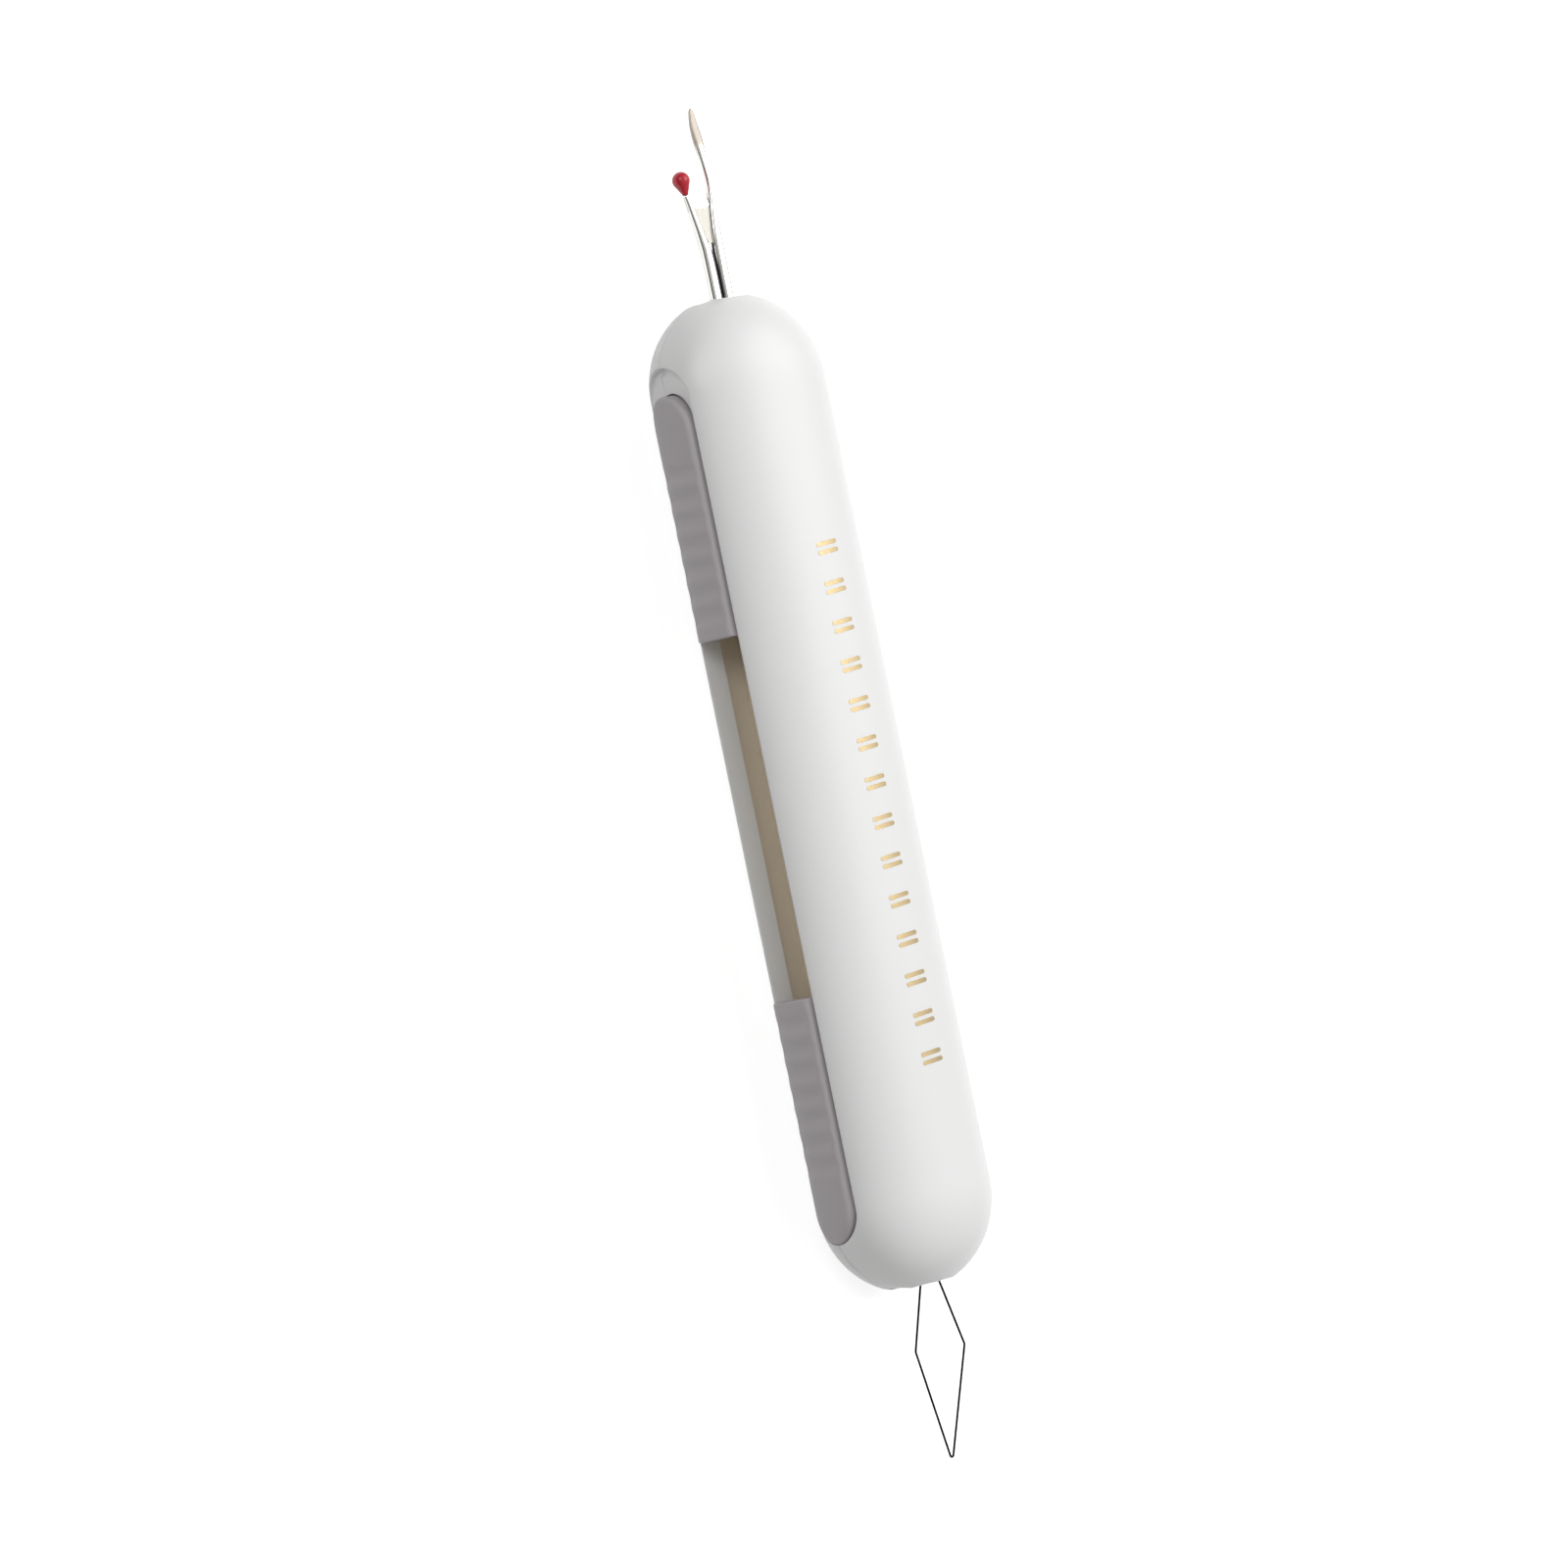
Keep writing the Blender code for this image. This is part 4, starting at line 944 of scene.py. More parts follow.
def foil_tree():
    """Lays a flat pair of dashes again and again along the body, and thickens them."""
    lengths = ("Pitch", "Across", "Start", "Slant", "Thickness")
    sizes = {"Skin": "Object", "Pairs": "Int", **dict.fromkeys(lengths, "Float")}
    tree, given = start_tree("foil_row", {**sizes, "Material": "Material"})
    above = PARTING_Z + 2 * HALF_THICKNESS
    start = add_node(tree, COMBINE, {"X": given["Across"], "Y": given["Start"], "Z": above})
    back = add_node(tree, MATH, {0: given["Pitch"], 1: -1.0}, operation="MULTIPLY")
    step = add_node(tree, COMBINE, {"Y": back})
    row = {"Count": given["Pairs"], "Start Location": start, "Offset": step}
    line = add_node(tree, "GeometryNodeMeshLine", row)
    turn = add_node(tree, COMBINE, {"Z": given["Slant"]})
    pairs = {"Points": line, "Instance": given["Geometry"], "Rotation": turn}
    placed = add_node(tree, "GeometryNodeInstanceOnPoints", pairs)
    flat = add_node(tree, "GeometryNodeRealizeInstances", {"Geometry": placed})
    shell = add_node(
        tree, "GeometryNodeObjectInfo", {"Object": given["Skin"]}, transform_space="RELATIVE"
    )
    downwards = {
        "Target Geometry": shell.outputs["Geometry"],
        "Ray Direction": (0.0, 0.0, -1.0),
        "Ray Length": 4 * HALF_THICKNESS,
    }
    hit = add_node(tree, "GeometryNodeRaycast", downwards).outputs["Hit Position"]
    laid = add_node(tree, "GeometryNodeSetPosition", {"Geometry": flat, "Position": hit})
    film = {"Mesh": laid, "Offset Scale": given["Thickness"], "Individual": False}
    raised = add_node(tree, "GeometryNodeExtrudeMesh", film, mode="FACES")
    under = add_node(tree, "GeometryNodeFlipFaces", {"Mesh": laid})
    both = add_node(tree, "GeometryNodeJoinGeometry")
    for side in (raised, under):
        tree.links.new(side.outputs[0], both.inputs[0])
    weld = {"Geometry": both, "Distance": FOIL_WELD}
    closed = add_node(tree, "GeometryNodeMergeByDistance", weld)
    end_tree(tree, closed, given["Material"])
    return tree


def make_foil_row(sizes, skin_object, surface):
    """One pair of flat dashes, repeated and laid on the skin by its tree."""
    bm = bmesh.new()
    for middle in (-sizes.dash_spacing / 2, sizes.dash_spacing / 2):
        rows = []
        for x, half in dash_outline(sizes.dash_length / 2, sizes.dash_width / 2):
            places = [(x, middle + half * share, 0.0) for share in (-1, -0.5, 0, 0.5, 1)]
            rows.append([bm.verts.new(place) for place in places])
        for row, after in zip(rows, rows[1:]):
            for j in range(len(row) - 1):
                bm.faces.new((row[j], after[j], after[j + 1], row[j + 1]))
    mesh = bpy.data.meshes.new("gold_foil_row")
    bm.to_mesh(mesh)
    bm.free()
    row = new_object("gold_foil_row", mesh)
    row.data.materials.append(surface)
    values = {
        "Skin": skin_object,
        "Pairs": sizes.pairs,
        "Pitch": sizes.pitch,
        "Across": sizes.across,
        "Start": sizes.start,
        "Slant": sizes.slant,
        "Thickness": sizes.thickness,
        "Material": surface,
    }
    grow(row, foil_tree(), values)
    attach(row, "housing")


# ---------------------------------------------------------------- seam ripper


def smooth_run(keys, steps):
    """Catmull-Rom curve through tuples of numbers, with steps pieces between two keys."""
    run = []
    for i in range(len(keys) - 1):
        before = keys[max(i - 1, 0)]
        a, b = keys[i], keys[i + 1]
        after = keys[min(i + 2, len(keys) - 1)]
        for j in range(steps):
            t = j / steps
            point = []
            for p0, p1, p2, p3 in zip(before, a, b, after):
                bend = (p2 - p0) * t
                bend += (2 * p0 - 5 * p1 + 4 * p2 - p3) * t**2
                bend += (3 * p1 - p0 - 3 * p2 + p3) * t**3
                point.append(p1 + bend / 2)
            run.append(tuple(point))
    run.append(keys[-1])
    return run


def rounded_section(half_width, half_height, power, count):
    """An oval that is fuller at its corners as power rises above 2."""
    points = []
    for i in range(count):
        a = math.tau * i / count
        u, v = math.cos(a), math.sin(a)
        u = math.copysign(abs(u) ** (2 / power), u)
        v = math.copysign(abs(v) ** (2 / power), v)
        points.append((half_width * u, half_height * v))
    return points


def prong(name, side, straight_end, keys):
    """One prong: beside the other along the stem, then along its keys. side is +1 or -1."""
    x, half, thick = side * PRONG_APART, PRONG_WIDTH / 2, STEM_THICKNESS / 2
    straight = [(x, -STEM_INSIDE, half, thick), (x, straight_end, half, thick)]
    rings = []
    for x, out, half_width, half_height in smooth_run(straight + keys, PRONG_STEPS):
        section = rounded_section(half_width, half_height, PRONG_POWER, PRONG_SIDES)
        rings.append([at(RIPPER_X + x + u, HALF_LENGTH + out, v) for u, v in section])
    return skin(name, rings)


def web():
    """The thin plate between the prongs, ground from both sides to a hollow sharp edge."""
    half = WEB_THICKNESS / 2
    levels = ((-half, WEB_BEVEL), (-half / 8, 0.0), (half / 8, 0.0), (half, WEB_BEVEL))
    rings = []
    for h, back in levels:
        foot = HALF_LENGTH + WEB_START
        ring = [at(RIPPER_X - WEB_FOOT, foot, h), at(RIPPER_X + WEB_FOOT, foot, h)]
        for i in range(CUTTER_STEPS + 1):
            share = 1 - i / CUTTER_STEPS
            x = WEB_LEFT + (WEB_RIGHT - WEB_LEFT) * share
            dip = WEB_HOLLOW * math.sin(math.pi * share)
            ring.append(at(RIPPER_X + x, HALF_LENGTH + WEB_EDGE - dip - back, h))
        rings.append(ring)
    return skin("web", rings)


def make_tang(start):
    """The flat end that the carriage holds."""
    outline = stadium(TANG_HALF_WIDTH, TANG_HALF_THICKNESS, TANG_STEPS)
    outline = [(RIPPER_X + u, v) for u, v in outline]
    return prism_along_y("tang", outline, start, HALF_LENGTH - STEM_INSIDE + WALL)


def groove_floor():
    """What is left between the two prongs where the groove runs down the stem."""
    half_width = GROOVE_REACH * PRONG_APART
    left, right = RIPPER_X - half_width, RIPPER_X + half_width
    low, high = -GROOVE_FLOOR / 2, GROOVE_FLOOR / 2
    outline = [(left, low), (right, low), (right, high), (left, high)]
    ends = (HALF_LENGTH - STEM_INSIDE + WALL / 2, HALF_LENGTH + WEB_START + WEB_BEVEL)
    return prism_along_y("groove_floor", outline, *ends)


def make_blade(surface):
    """The fork: two prongs side by side that part round a ground web, and the tang inside."""
    keys = [tuple(v * MM for v in key) for key in LONG_PRONG]
    for x, back, half_width, half_height in LONG_PRONG_TIP:
        keys.append((x * MM, RIPPER_OUT - back * MM, half_width * MM, half_height * MM))
    blade = prong("ripper_blade_forged", 1, LONG_STRAIGHT, keys)
    keys = [tuple(v * MM for v in key) for key in SHORT_PRONG]
    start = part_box("ripper_blade")[0][1]
    pieces = (
        prong("short_prong", -1, SHORT_STRAIGHT, keys),
        web(),
        groove_floor(),
        make_tang(start),
    )
    for piece in pieces:
        combine(blade, piece, "UNION")
    hole = circle(TANG_HOLE_RADIUS, TANG_HOLE_SIDES)  # for the carriage's peg
    hole = [(RIPPER_X + u, start + TANG_HOLE_PLACE + v) for u, v in hole]
    ends = (-STEM_THICKNESS, STEM_THICKNESS)
    combine(blade, prism_along_z("hole", hole, *ends), "DIFFERENCE")
    blade.data.materials.clear()
    blade.data.materials.append(surface)
    shade(blade, 40.0)
    mark_blade(blade)
    finish_piece(blade, "ripper", "polished_ripper_steel", "ripper_blade")


def mark_blade(blade):
    """Marks the ground edge, the groove, the web and the tip for the steel's material. The
    groove's dark colour is painted shade.
    """
    points = points_of(blade.data)
    out = points[:, 1] - HALF_LENGTH
    height = np.abs(points[:, 2])
    beyond = 0.2 * MM
    ground = (height < WEB_THICKNESS / 2 - 2 * TOUCHING) & (out < WEB_EDGE + beyond)
    point_values(blade, "ground", ground & (out > WEB_EDGE - GRIND_LENGTH))
    groove = np.abs(points[:, 0] - RIPPER_X) < PRONG_APART - PRONG_WIDTH / 2 + 4 * TOUCHING
    groove &= (height < STEM_THICKNESS / 2 - 12 * TOUCHING) & (out < WEB_START + beyond)
    # the groove is coloured dark: painted shade in the crease
    point_values(blade, "groove", groove)
    face_values(blade, "web", is_web)
    point_values(blade, "tip", np.clip((out - TIP_FLAT) / TIP_FADE, 0, 1))


def is_web(middle, turn):
    """Whether a face lies on one of the two flat sides of the web."""
    out = middle.y - HALF_LENGTH
    flat = abs(turn.z) > 0.97 and abs(abs(middle.z) - WEB_THICKNESS / 2) < 3 * TOUCHING
    return flat and WEB_START - WEB_BEVEL < out < WEB_EDGE


def make_ball(surface):
    """The dipped ball, drop-shaped towards the prong, with a small run of lacquer at its tail."""
    profile = [(0.0, BALL_RADIUS)]
    for degrees in range(84, -37, -6):
        a = math.radians(degrees)
        profile.append((BALL_RADIUS * math.cos(a), BALL_RADIUS * math.sin(a)))
    profile += [(radius * MM, -share * BALL_TAIL) for radius, share in BALL_NECK]
    bore_end = 2 * SMALL_CLEARANCE
    profile += [(BALL_BORE, -BALL_TAIL), (BALL_BORE, bore_end), (0.0, bore_end)]
    rings = []
    for i in range(BALL_SIDES):
        turn = math.tau * i / BALL_SIDES
        ring = []
        for r, along in profile:
            u = r * math.cos(turn)
            x = u * math.cos(BALL_LEAN) - along * math.sin(BALL_LEAN)
            y = u * math.sin(BALL_LEAN) + along * math.cos(BALL_LEAN)
            place = at(RIPPER_X + BALL_X + x, HALF_LENGTH + BALL_OUT + y, r * math.sin(turn))
            ring.append(place)
        rings.append(ring)
    ball = skin("ripper_ball_dipped", rings, closed_rings=False, closed_run=True, capped=False)
    ball.data.materials.append(surface)
    shade(ball, 50.0)
    finish_piece(ball, "ripper", "red_ball_plastic", "ripper_ball")


# ---------------------------------------------------------------- needle threader


def rounded_path(corners, radii):
    """The corner points (x, y) with an arc of the given radius at each inner one."""
    path = [Vector(corners[0])]
    for before, corner, after, radius in zip(corners, corners[1:], corners[2:], radii):
        corner = Vector(corner)
        back = (Vector(before) - corner).normalized()
        on = (Vector(after) - corner).normalized()
        half = back.angle(on) / 2
        middle = corner + (back + on).normalized() * (radius / math.sin(half))
        start = corner + back * (radius / math.tan(half))
        end = corner + on * (radius / math.tan(half))
        first = math.atan2(*(start - middle).yx)
        sweep = math.atan2(*(end - middle).yx) - first
        sweep = (sweep + math.pi) % math.tau - math.pi
        for i in range(BEND_STEPS + 1):
            a = first + sweep * i / BEND_STEPS
            path.append(middle + Vector((math.cos(a), math.sin(a))) * radius)
    path.append(Vector(corners[-1]))
    return path


def wire_tree():
    """Draws a round wire along a path."""
    sizes = {"Radius": "Float", "Sides": "Int", "Material": "Material"}
    tree, given = start_tree("drawn_wire", sizes)
    path = add_node(tree, "GeometryNodeMeshToCurve", {"Mesh": given["Geometry"]})
    circle_sizes = {"Resolution": given["Sides"], "Radius": given["Radius"]}
    section = add_node(tree, "GeometryNodeCurvePrimitiveCircle", circle_sizes)
    sweep = {"Curve": path, "Profile Curve": section, "Fill Caps": True}
    drawn = add_node(tree, "GeometryNodeCurveToMesh", sweep)
    smooth = add_node(tree, "GeometryNodeSetShadeSmooth", {"Geometry": drawn})
    end_tree(tree, smooth, given["Material"])
    return tree


def make_wire_loop(sizes, surface):
    """The diamond loop: out of the ferrule, round its two wide corners and its tip, and back."""
    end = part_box("threader_ferrule")[0][1]
    leg = WIRE_SPACING / 2
    corner_y = -HALF_LENGTH - LOOP_CORNER_OUT
    corner_x = LOOP_X + LOOP_CORNER_SHIFT
    narrow = math.atan(LOOP_WIDTH / 2 / (LOOP_OUT - LOOP_CORNER_OUT))
    cut_short = sizes.tip / math.sin(narrow) - sizes.tip  # what the bend takes off the corner
    tip_y = -HALF_LENGTH - LOOP_OUT + sizes.radius - cut_short
    corners = [
        (LOOP_X - leg, end + WIRE_IN_FERRULE),
        (LOOP_X - leg, end - SMALL_CLEARANCE),
        (corner_x - LOOP_WIDTH / 2, corner_y + LOOP_CORNER_SKEW),
        (LOOP_X + LOOP_TIP_SHIFT, tip_y),
        (corner_x + LOOP_WIDTH / 2, corner_y - LOOP_CORNER_SKEW),
        (LOOP_X + leg, end - SMALL_CLEARANCE),
        (LOOP_X + leg, end + WIRE_IN_FERRULE),
    ]
    radii = (sizes.corner, sizes.corner, sizes.tip, sizes.corner, sizes.corner)
    path = rounded_path(corners, radii)
    mesh = bpy.data.meshes.new("threader_wire_drawn")
    edges = [(i, i + 1) for i in range(len(path) - 1)]
    mesh.from_pydata([at(place.x, place.y, 0.0) for place in path], edges, [])
    wire = new_object("threader_wire_drawn", mesh)
    wire.data.materials.append(surface)
    values = {"Radius": sizes.radius, "Sides": WIRE_SIDES, "Material": surface}
    grow(wire, wire_tree(), values)
    finish_piece(wire, "threader", "dark_threader_wire", "threader_wire_loop")


# ---------------------------------------------------------------- materials


def new_material(name, rgb, roughness, metallic=0.0, **sockets):
    """A material whose shader holds its values. A pattern may be linked over them later."""
    surface = bpy.data.materials.new(name)
    surface.use_nodes = True
    shader = surface.node_tree.nodes["Principled BSDF"]
    shader.inputs["Base Color"].default_value = (*rgb, 1.0)
    shader.inputs["Roughness"].default_value = roughness
    shader.inputs["Metallic"].default_value = metallic
    for key, value in sockets.items():
        shader.inputs[key.replace("_", " ")].default_value = value
    return surface


def grain(surface, size, height, stretch=(1.0, 1.0, 1.0), detail=3.0):
    """Fine relief whose bumps are size across and height deep, longer along stretch."""
    tree = surface.node_tree
    place = add_node(tree, "ShaderNodeTexCoord").outputs["Object"]
    mapping = {"Vector": place, "Scale": [1 / s for s in stretch]}
    spread = add_node(tree, "ShaderNodeMapping", mapping)
    bumps = {"Vector": spread, "Scale": 1 / size, "Detail": detail}
    pattern = add_node(tree, "ShaderNodeTexNoise", bumps).outputs["Fac"]
    relief = {"Height": pattern, "Distance": height, "Strength": 1.0}
    bump = add_node(tree, "ShaderNodeBump", relief)
    tree.links.new(bump.outputs[0], tree.nodes["Principled BSDF"].inputs["Normal"])
    return pattern


def follow(surface, pattern, roughness=None, colours=None):
    """Lets the roughness, the base colour or both follow a pattern between two values."""
    tree = surface.node_tree
    shader = tree.nodes["Principled BSDF"]
    if roughness:
        limits = {"From Min": 0.3, "From Max": 0.7, "To Min": roughness[0], "To Max": roughness[1]}
        span = add_node(tree, "ShaderNodeMapRange", {"Value": pattern, **limits})
        tree.links.new(span.outputs[0], shader.inputs["Roughness"])
    if colours:
        first, second = [(*rgb, 1.0) for rgb in colours]
        blend = {"Factor": pattern, "A": first, "B": second}
        mixed = add_node(tree, "ShaderNodeMix", blend, data_type="RGBA")
        tree.links.new(mixed.outputs["Result"], shader.inputs["Base Color"])


def toned(rgb, share):
    """The colour made darker, or lighter with a share above 1."""
    return [v * share for v in rgb]


def body_material(colours):
    """White ABS, injection moulded in a satin mould: a soft even sheen with a very fine grain.

    The faces that look inwards are tinted warmer, as painted warm shade for the dim light that
    bounces inside the slot.
    """
    surface = new_material(
        "satin_moulded_white_abs",
        colours.body,
        0.38,
        IOR=1.54,
        Subsurface_Weight=0.12,
        Subsurface_Radius=(0.9 * MM, 0.8 * MM, 0.7 * MM),
        Subsurface_Scale=1.0,
    )
    fine = grain(surface, 0.22 * MM, 0.0012 * MM)
    follow(surface, fine, roughness=(0.35, 0.42))
    # painted warm shade: the inward faces take the warm Inside colour
    marked = add_node(surface.node_tree, "ShaderNodeAttribute", attribute_name="inside")
    follow(surface, marked.outputs["Fac"], colours=(colours.body, colours.inner))
    return surface


def button_material(colours):
    """Grey ABS from a spark-eroded mould: matt, with an even grain that grips the thumb."""
    surface = new_material("matt_moulded_grey_abs", colours.button, 0.55, IOR=1.54)
    fine = grain(surface, 0.16 * MM, 0.006 * MM, detail=2.0)
    tones = (toned(colours.button, 0.96), toned(colours.button, 1.03))
    follow(surface, fine, roughness=(0.5, 0.62), colours=tones)
    return surface


def carriage_material(colours):
    """Natural acetal, moulded without pigment: milky and slightly waxy."""
    surface = new_material(
        "natural_moulded_acetal",
        colours.carriage,
        0.42,
        IOR=1.48,
        Subsurface_Weight=0.25,
        Subsurface_Radius=(1.2 * MM, 1.0 * MM, 0.7 * MM),
        Subsurface_Scale=1.0,
    )
    flow = grain(surface, 0.8 * MM, 0.003 * MM, stretch=(1.0, 6.0, 1.0))
    tones = (toned(colours.carriage, 0.94), colours.carriage)
    follow(surface, flow, roughness=(0.36, 0.5), colours=tones)
    return surface


def blade_material(colours):
    """Nickel-plated forged steel, tumbled bright, with a cutting edge ground across the fork.

    The pressed web is duller and warmer, and the groove is coloured dark as painted shade in the
    crease.
    """
    surface = new_material("bright_plated_forged_steel", colours.blade, 0.14, 1.0)
    tree = surface.node_tree
    polish = grain(surface, 0.35 * MM, 0.003 * MM, stretch=(1.0, 5.0, 1.0))
    marks = {"polish": polish}
    for name in ("ground", "web", "tip", "groove"):
        mark = add_node(tree, "ShaderNodeAttribute", attribute_name=name)
        marks[name] = mark.outputs["Fac"]
    layers = (  # each over the ones before it, with how much it adds to the roughness
        ("polish", colours.blade, 0.08),
        ("ground", linear("#C4C3BF"), 0.12),
        ("web", linear("#C2BFB7"), 0.42),
        ("tip", linear("#B5ADA3"), 0.4),
        # painted shade: a dark colour where shade falls in the groove
        ("groove", linear("#3B393D"), 0.3),
    )
    steel = (*toned(colours.blade, 0.9), 1.0)
    rough = 0.06
    for name, rgb, duller in layers:
        blend = {"Factor": marks[name], "A": steel, "B": (*rgb, 1.0)}
        steel = add_node(tree, "ShaderNodeMix", blend, data_type="RGBA").outputs["Result"]
        added = {0: marks[name], 1: duller, 2: rough}
        rough = add_node(tree, MATH, added, operation="MULTIPLY_ADD").outputs[0]
    shader = tree.nodes["Principled BSDF"]
    tree.links.new(steel, shader.inputs["Base Color"])
    tree.links.new(rough, shader.inputs["Roughness"])
    return surface


def ball_material(colours):
    """Red lacquer, dipped in two coats: deep colour under a clear gloss."""
    surface = new_material(
        "dipped_red_lacquer", colours.ball, 0.34, IOR=1.5, Coat_Weight=0.25, Coat_Roughness=0.1
    )
    runs = grain(surface, 0.6 * MM, 0.01 * MM, detail=1.0)
    follow(surface, runs, colours=(toned(colours.ball, 0.85), colours.ball))
    return surface


def wire_material(colours):
    """Spring steel wire, drawn, whose near-black colour is painted dark reflection: dark, with a
    thin bright line along it.
    """
    surface = new_material("drawn_spring_wire_painted_dark", colours.wire, 0.35, 1.0)
    scale = grain(surface, 0.12 * MM, 0.002 * MM, stretch=(1.0, 8.0, 1.0))
    tones = (toned(colours.wire, 0.8), toned(colours.wire, 1.4))
    follow(surface, scale, roughness=(0.28, 0.45), colours=tones)
    return surface


def spring_material(colours):
    """Spring steel strip, cold rolled: grey, with fine lines along the strip."""
    surface = new_material("cold_rolled_spring_strip", colours.spring, 0.3, 1.0)
    rolled = grain(surface, 0.1 * MM, 0.002 * MM, stretch=(1.0, 20.0, 1.0))
    tones = (toned(colours.spring, 0.85), colours.spring)
    follow(surface, rolled, roughness=(0.22, 0.4), colours=tones)
    return surface


def ferrule_material(colours):
    """Brass tube, pressed flat and nickel plated: warm grey and softly bright."""
    surface = new_material("nickel_plated_pressed_tube", colours.ferrule, 0.28, 1.0)
    pressed = grain(surface, 0.3 * MM, 0.004 * MM, stretch=(1.0, 4.0, 1.0))
    tones = (toned(colours.ferrule, 0.88), colours.ferrule)
    follow(surface, pressed, roughness=(0.2, 0.38), colours=tones)
    return surface


def foil_material(colours):
    """Hot-stamped gold foil: a thin metal film that follows the grain of the plastic below."""
    surface = new_material("hot_stamped_gold_foil", colours.foil, 0.34, 1.0)
    film = grain(surface, 0.18 * MM, 0.004 * MM)
    tones = (toned(colours.foil, 0.9), colours.foil)
    follow(surface, film, roughness=(0.28, 0.46), colours=tones)
    return surface


def floor_material(colours):
    """Matt white acrylic sheet, lit softly from below so that shadows stay faint."""
    return new_material(
        "matt_white_acrylic_sheet",
        colours.floor,
        0.8,
        Emission_Color=(1.0, 1.0, 1.0, 1.0),
        Emission_Strength=SHEET_GLOW,
    )


# ---------------------------------------------------------------- operators


class ShellsOperator(bpy.types.Operator):
    """Builds the front and back shells with their slot, mouths and inner ribs"""

    bl_idname = "sewing_tool.shells"
    bl_label = "Shells"

    def execute(self, context):
        sizes = context.scene.shell_sizes
        surface = body_material(context.scene.finish_colours)
        front = make_front_shell(sizes, surface)
        finish_piece(front, "housing", "white_body_plastic", "front_shell")
        back = make_back_shell(sizes, surface)
        finish_piece(back, "housing", "white_body_plastic", "back_shell")
        return {"FINISHED"}


class ButtonsOperator(bpy.types.Operator):
    """Builds the two slide buttons with their finger ribs"""

    bl_idname = "sewing_tool.buttons"
    bl_label = "Slide buttons"

    def execute(self, context):
        sizes = context.scene.button_sizes
        surface = button_material(context.scene.finish_colours)
        tree = rib_tree()
        make_button("ripper", RIPPER_BUTTON[0][1], 1, sizes, surface, tree)
        make_button("threader", THREADER_BUTTON[1][1], -1, sizes, surface, tree)
        return {"FINISHED"}


class FoilOperator(bpy.types.Operator):
    """Lays the row of gold dashes on the front shell"""

    bl_idname = "sewing_tool.foil"
    bl_label = "Gold row"

    def execute(self, context):
        surface = foil_material(context.scene.finish_colours)
        front = bpy.data.objects["front_shell_skin"]
        make_foil_row(context.scene.foil_sizes, front, surface)
        return {"FINISHED"}


class RipperOperator(bpy.types.Operator):
    """Builds the forked blade of the seam ripper and its ball"""

    bl_idname = "sewing_tool.ripper"
    bl_label = "Seam ripper"

    def execute(self, context):
        colours = context.scene.finish_colours
        make_blade(blade_material(colours))
        make_ball(ball_material(colours))
        return {"FINISHED"}


class ThreaderOperator(bpy.types.Operator):
    """Bends the wire loop of the needle threader"""

    bl_idname = "sewing_tool.threader"
    bl_label = "Needle threader"

    def execute(self, context):
        surface = wire_material(context.scene.finish_colours)
        make_wire_loop(context.scene.wire_sizes, surface)
        return {"FINISHED"}


class InnerPiecesOperator(bpy.types.Operator):
    """Gives the carriages, the leaf springs and the ferrule their surfaces"""

    bl_idname = "sewing_tool.inner_pieces"
    bl_label = "Inner pieces"

    def execute(self, context):
        colours = context.scene.finish_colours
        acetal = carriage_material(colours)
        strip = spring_material(colours)
        tube = ferrule_material(colours)
        surfaces = {
            "ripper_carriage": acetal,
            "threader_carriage": acetal,
            "ripper_detent_spring": strip,
            "threader_detent_spring": strip,
            "threader_ferrule": tube,
        }
        for name, surface in surfaces.items():
            frame["nodes"][name].material_slots[0].material = surface
        return {"FINISHED"}


class StageOperator(bpy.types.Operator):
    """Sets up the white sheet, the soft lights and the camera"""

    bl_idname = "sewing_tool.stage"
    bl_label = "Studio"

    def execute(self, context):
        scene = context.scene
        make_floor(scene.finish_colours)
        make_world(scene)
        for light in LIGHTS:
            area_light(scene, *light)
        make_camera(scene)
        scene.view_settings.view_transform = "Standard"
        scene.view_settings.look = "None"
        return {"FINISHED"}


def make_floor(colours):
    """The flat sheet that the tool lies on."""
    corners = [(-1, -1), (1, -1), (1, 1), (-1, 1)]
    points = [(x * SHEET_HALF, y * SHEET_HALF, -SHEET_DROP) for x, y in corners]
    mesh = bpy.data.meshes.new("studio_sheet")
    mesh.from_pydata(points, [], [range(4)])
    mesh.materials.append(floor_material(colours))
    sheet = new_object("studio_sheet", mesh)
    sheet.visible_diffuse = False  # the world below the horizon stands in for its light


def make_world(scene):
    """A pale room, darker low down beside the slot, so that polished steel has dark edges.

    Below the horizon it stands for the even light that the sheet throws back.
    """
    world = bpy.data.worlds.new("soft_studio")
    world.use_nodes = True
    tree = world.node_tree
    background = tree.nodes["Background"]
    background.inputs["Color"].default_value = (1.0, 1.0, 1.0, 1.0)
    direction = add_node(tree, "ShaderNodeTexCoord").outputs["Object"]
    split = add_node(tree, "ShaderNodeSeparateXYZ", {0: direction}).outputs
    lean = {0: split["X"], 1: WORLD_LEAN, 2: split["Z"]}
    leaning = add_node(tree, MATH, lean, operation="MULTIPLY_ADD")
    room = add_node(tree, "ShaderNodeMapRange", {"Value": leaning, **WORLD_RANGE})
    above = add_node(tree, MATH, {0: split["Z"], 1: 0.0}, operation="GREATER_THAN")
    halves = {"Factor": above, "A": WORLD_BELOW, "B": room}
    strength = add_node(tree, "ShaderNodeMix", halves, data_type="FLOAT")
    tree.links.new(strength.outputs["Result"], background.inputs["Strength"])
    scene.world = world


def area_light(scene, name, place, size, power):
    """A square light that faces the tool."""
    data = bpy.data.lights.new(name, "AREA")
    data.shape = "SQUARE"
    data.size = size
    data.energy = power
    light = bpy.data.objects.new(name, data)
    scene.collection.objects.link(light)
    light.location = place
    aim = Vector((0.0, 0.0, PARTING_Z)) - Vector(place)
    light.rotation_euler = aim.to_track_quat("-Z", "Y").to_euler()


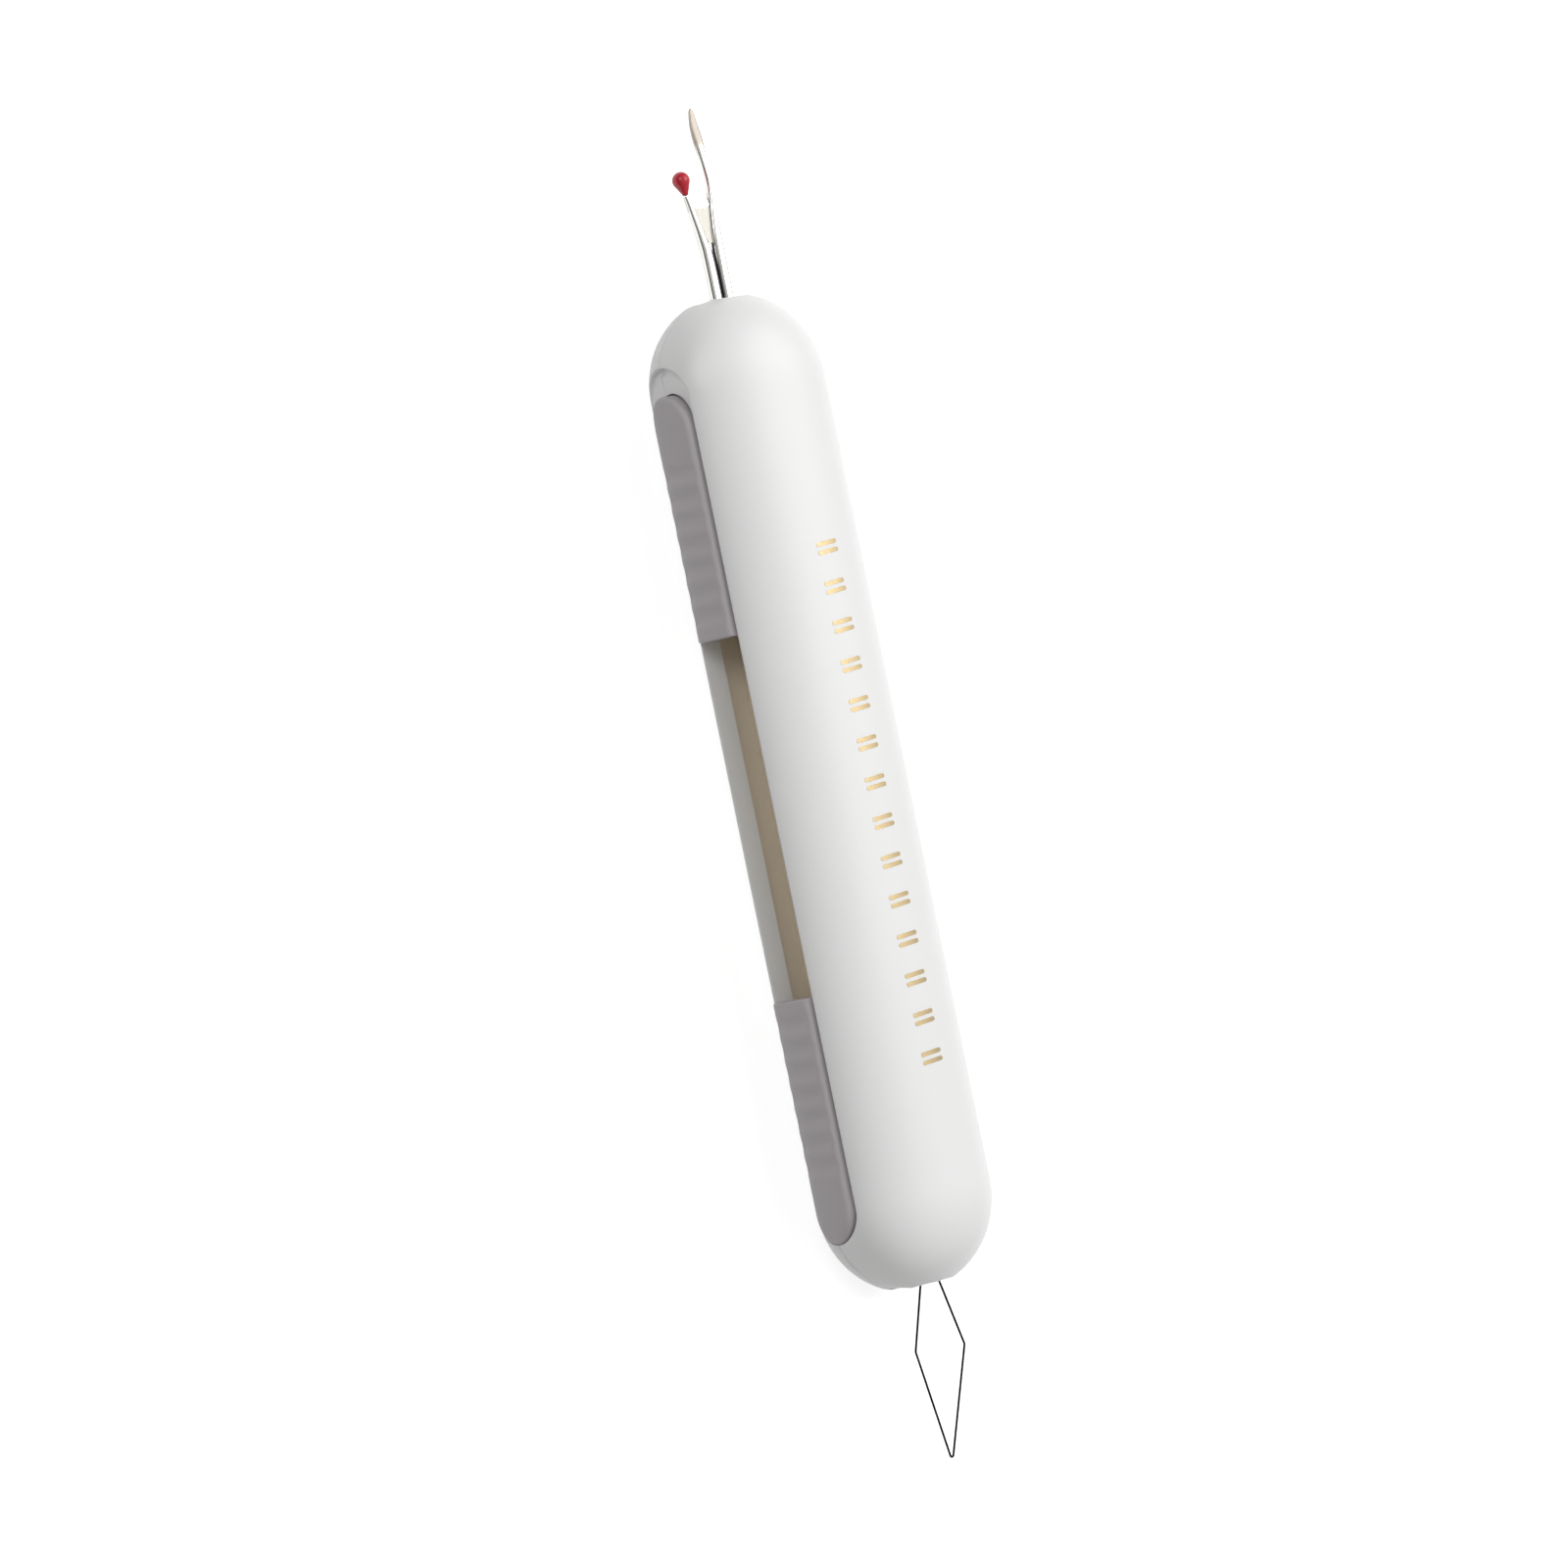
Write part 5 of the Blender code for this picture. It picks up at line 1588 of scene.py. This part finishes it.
def make_camera(scene):
    """Looks down at the slot's side, with the tool turned across the picture."""
    towards = Vector((-math.sin(VIEW_TILT), 0.0, math.cos(VIEW_TILT)))
    side = Vector((math.cos(VIEW_TILT), 0.0, math.sin(VIEW_TILT)))
    ahead = Vector((0.0, 1.0, 0.0))
    right = side * math.cos(VIEW_TURN) - ahead * math.sin(VIEW_TURN)
    up = side * math.sin(VIEW_TURN) + ahead * math.cos(VIEW_TURN)
    centre = Vector((0.0, 0.0, PARTING_Z)) - side * VIEW_ACROSS + ahead * VIEW_ALONG
    data = bpy.data.cameras.new("camera")
    data.lens = LENS
    data.sensor_width = SENSOR
    data.clip_start = 0.01
    distance = VIEW_WIDTH / SENSOR * LENS
    camera = bpy.data.objects.new("camera", data)
    turn = Matrix((right, up, towards)).transposed()
    camera.matrix_world = Matrix.Translation(centre + towards * distance) @ turn.to_4x4()
    scene.collection.objects.link(camera)
    scene.camera = camera


class SewingToolPanel(bpy.types.Panel):
    """Lists the pieces of the tool"""

    bl_idname = "VIEW3D_PT_sewing_tool"
    bl_label = "Sewing tool"
    bl_space_type = "VIEW_3D"
    bl_region_type = "UI"
    bl_category = "Sewing tool"

    def draw(self, context):
        for operator in OPERATORS:
            self.layout.operator(operator.bl_idname)
        for label, group in SETTINGS.items():
            settings = getattr(context.scene, label)
            box = self.layout.box()
            for name in group.__annotations__:
                box.prop(settings, name)


SETTINGS = {
    "shell_sizes": ShellSizes,
    "button_sizes": ButtonSizes,
    "foil_sizes": FoilSizes,
    "wire_sizes": WireSizes,
    "finish_colours": FinishColours,
}
OPERATORS = (
    ShellsOperator,
    ButtonsOperator,
    FoilOperator,
    RipperOperator,
    ThreaderOperator,
    InnerPiecesOperator,
    StageOperator,
)


def register():
    for item in (*SETTINGS.values(), *OPERATORS, SewingToolPanel):
        bpy.utils.register_class(item)
    for label, group in SETTINGS.items():
        setattr(bpy.types.Scene, label, PointerProperty(type=group))


def unregister():
    for label in SETTINGS:
        delattr(bpy.types.Scene, label)
    for item in reversed((*SETTINGS.values(), *OPERATORS, SewingToolPanel)):
        bpy.utils.unregister_class(item)


def main():
    """Registers the add-on, and builds every piece and the stage."""
    register()
    tool = bpy.ops.sewing_tool
    tool.shells()
    tool.buttons()
    tool.foil()
    tool.ripper()
    tool.threader()
    tool.inner_pieces()
    tool.stage()


if __name__ == "__main__":
    main()
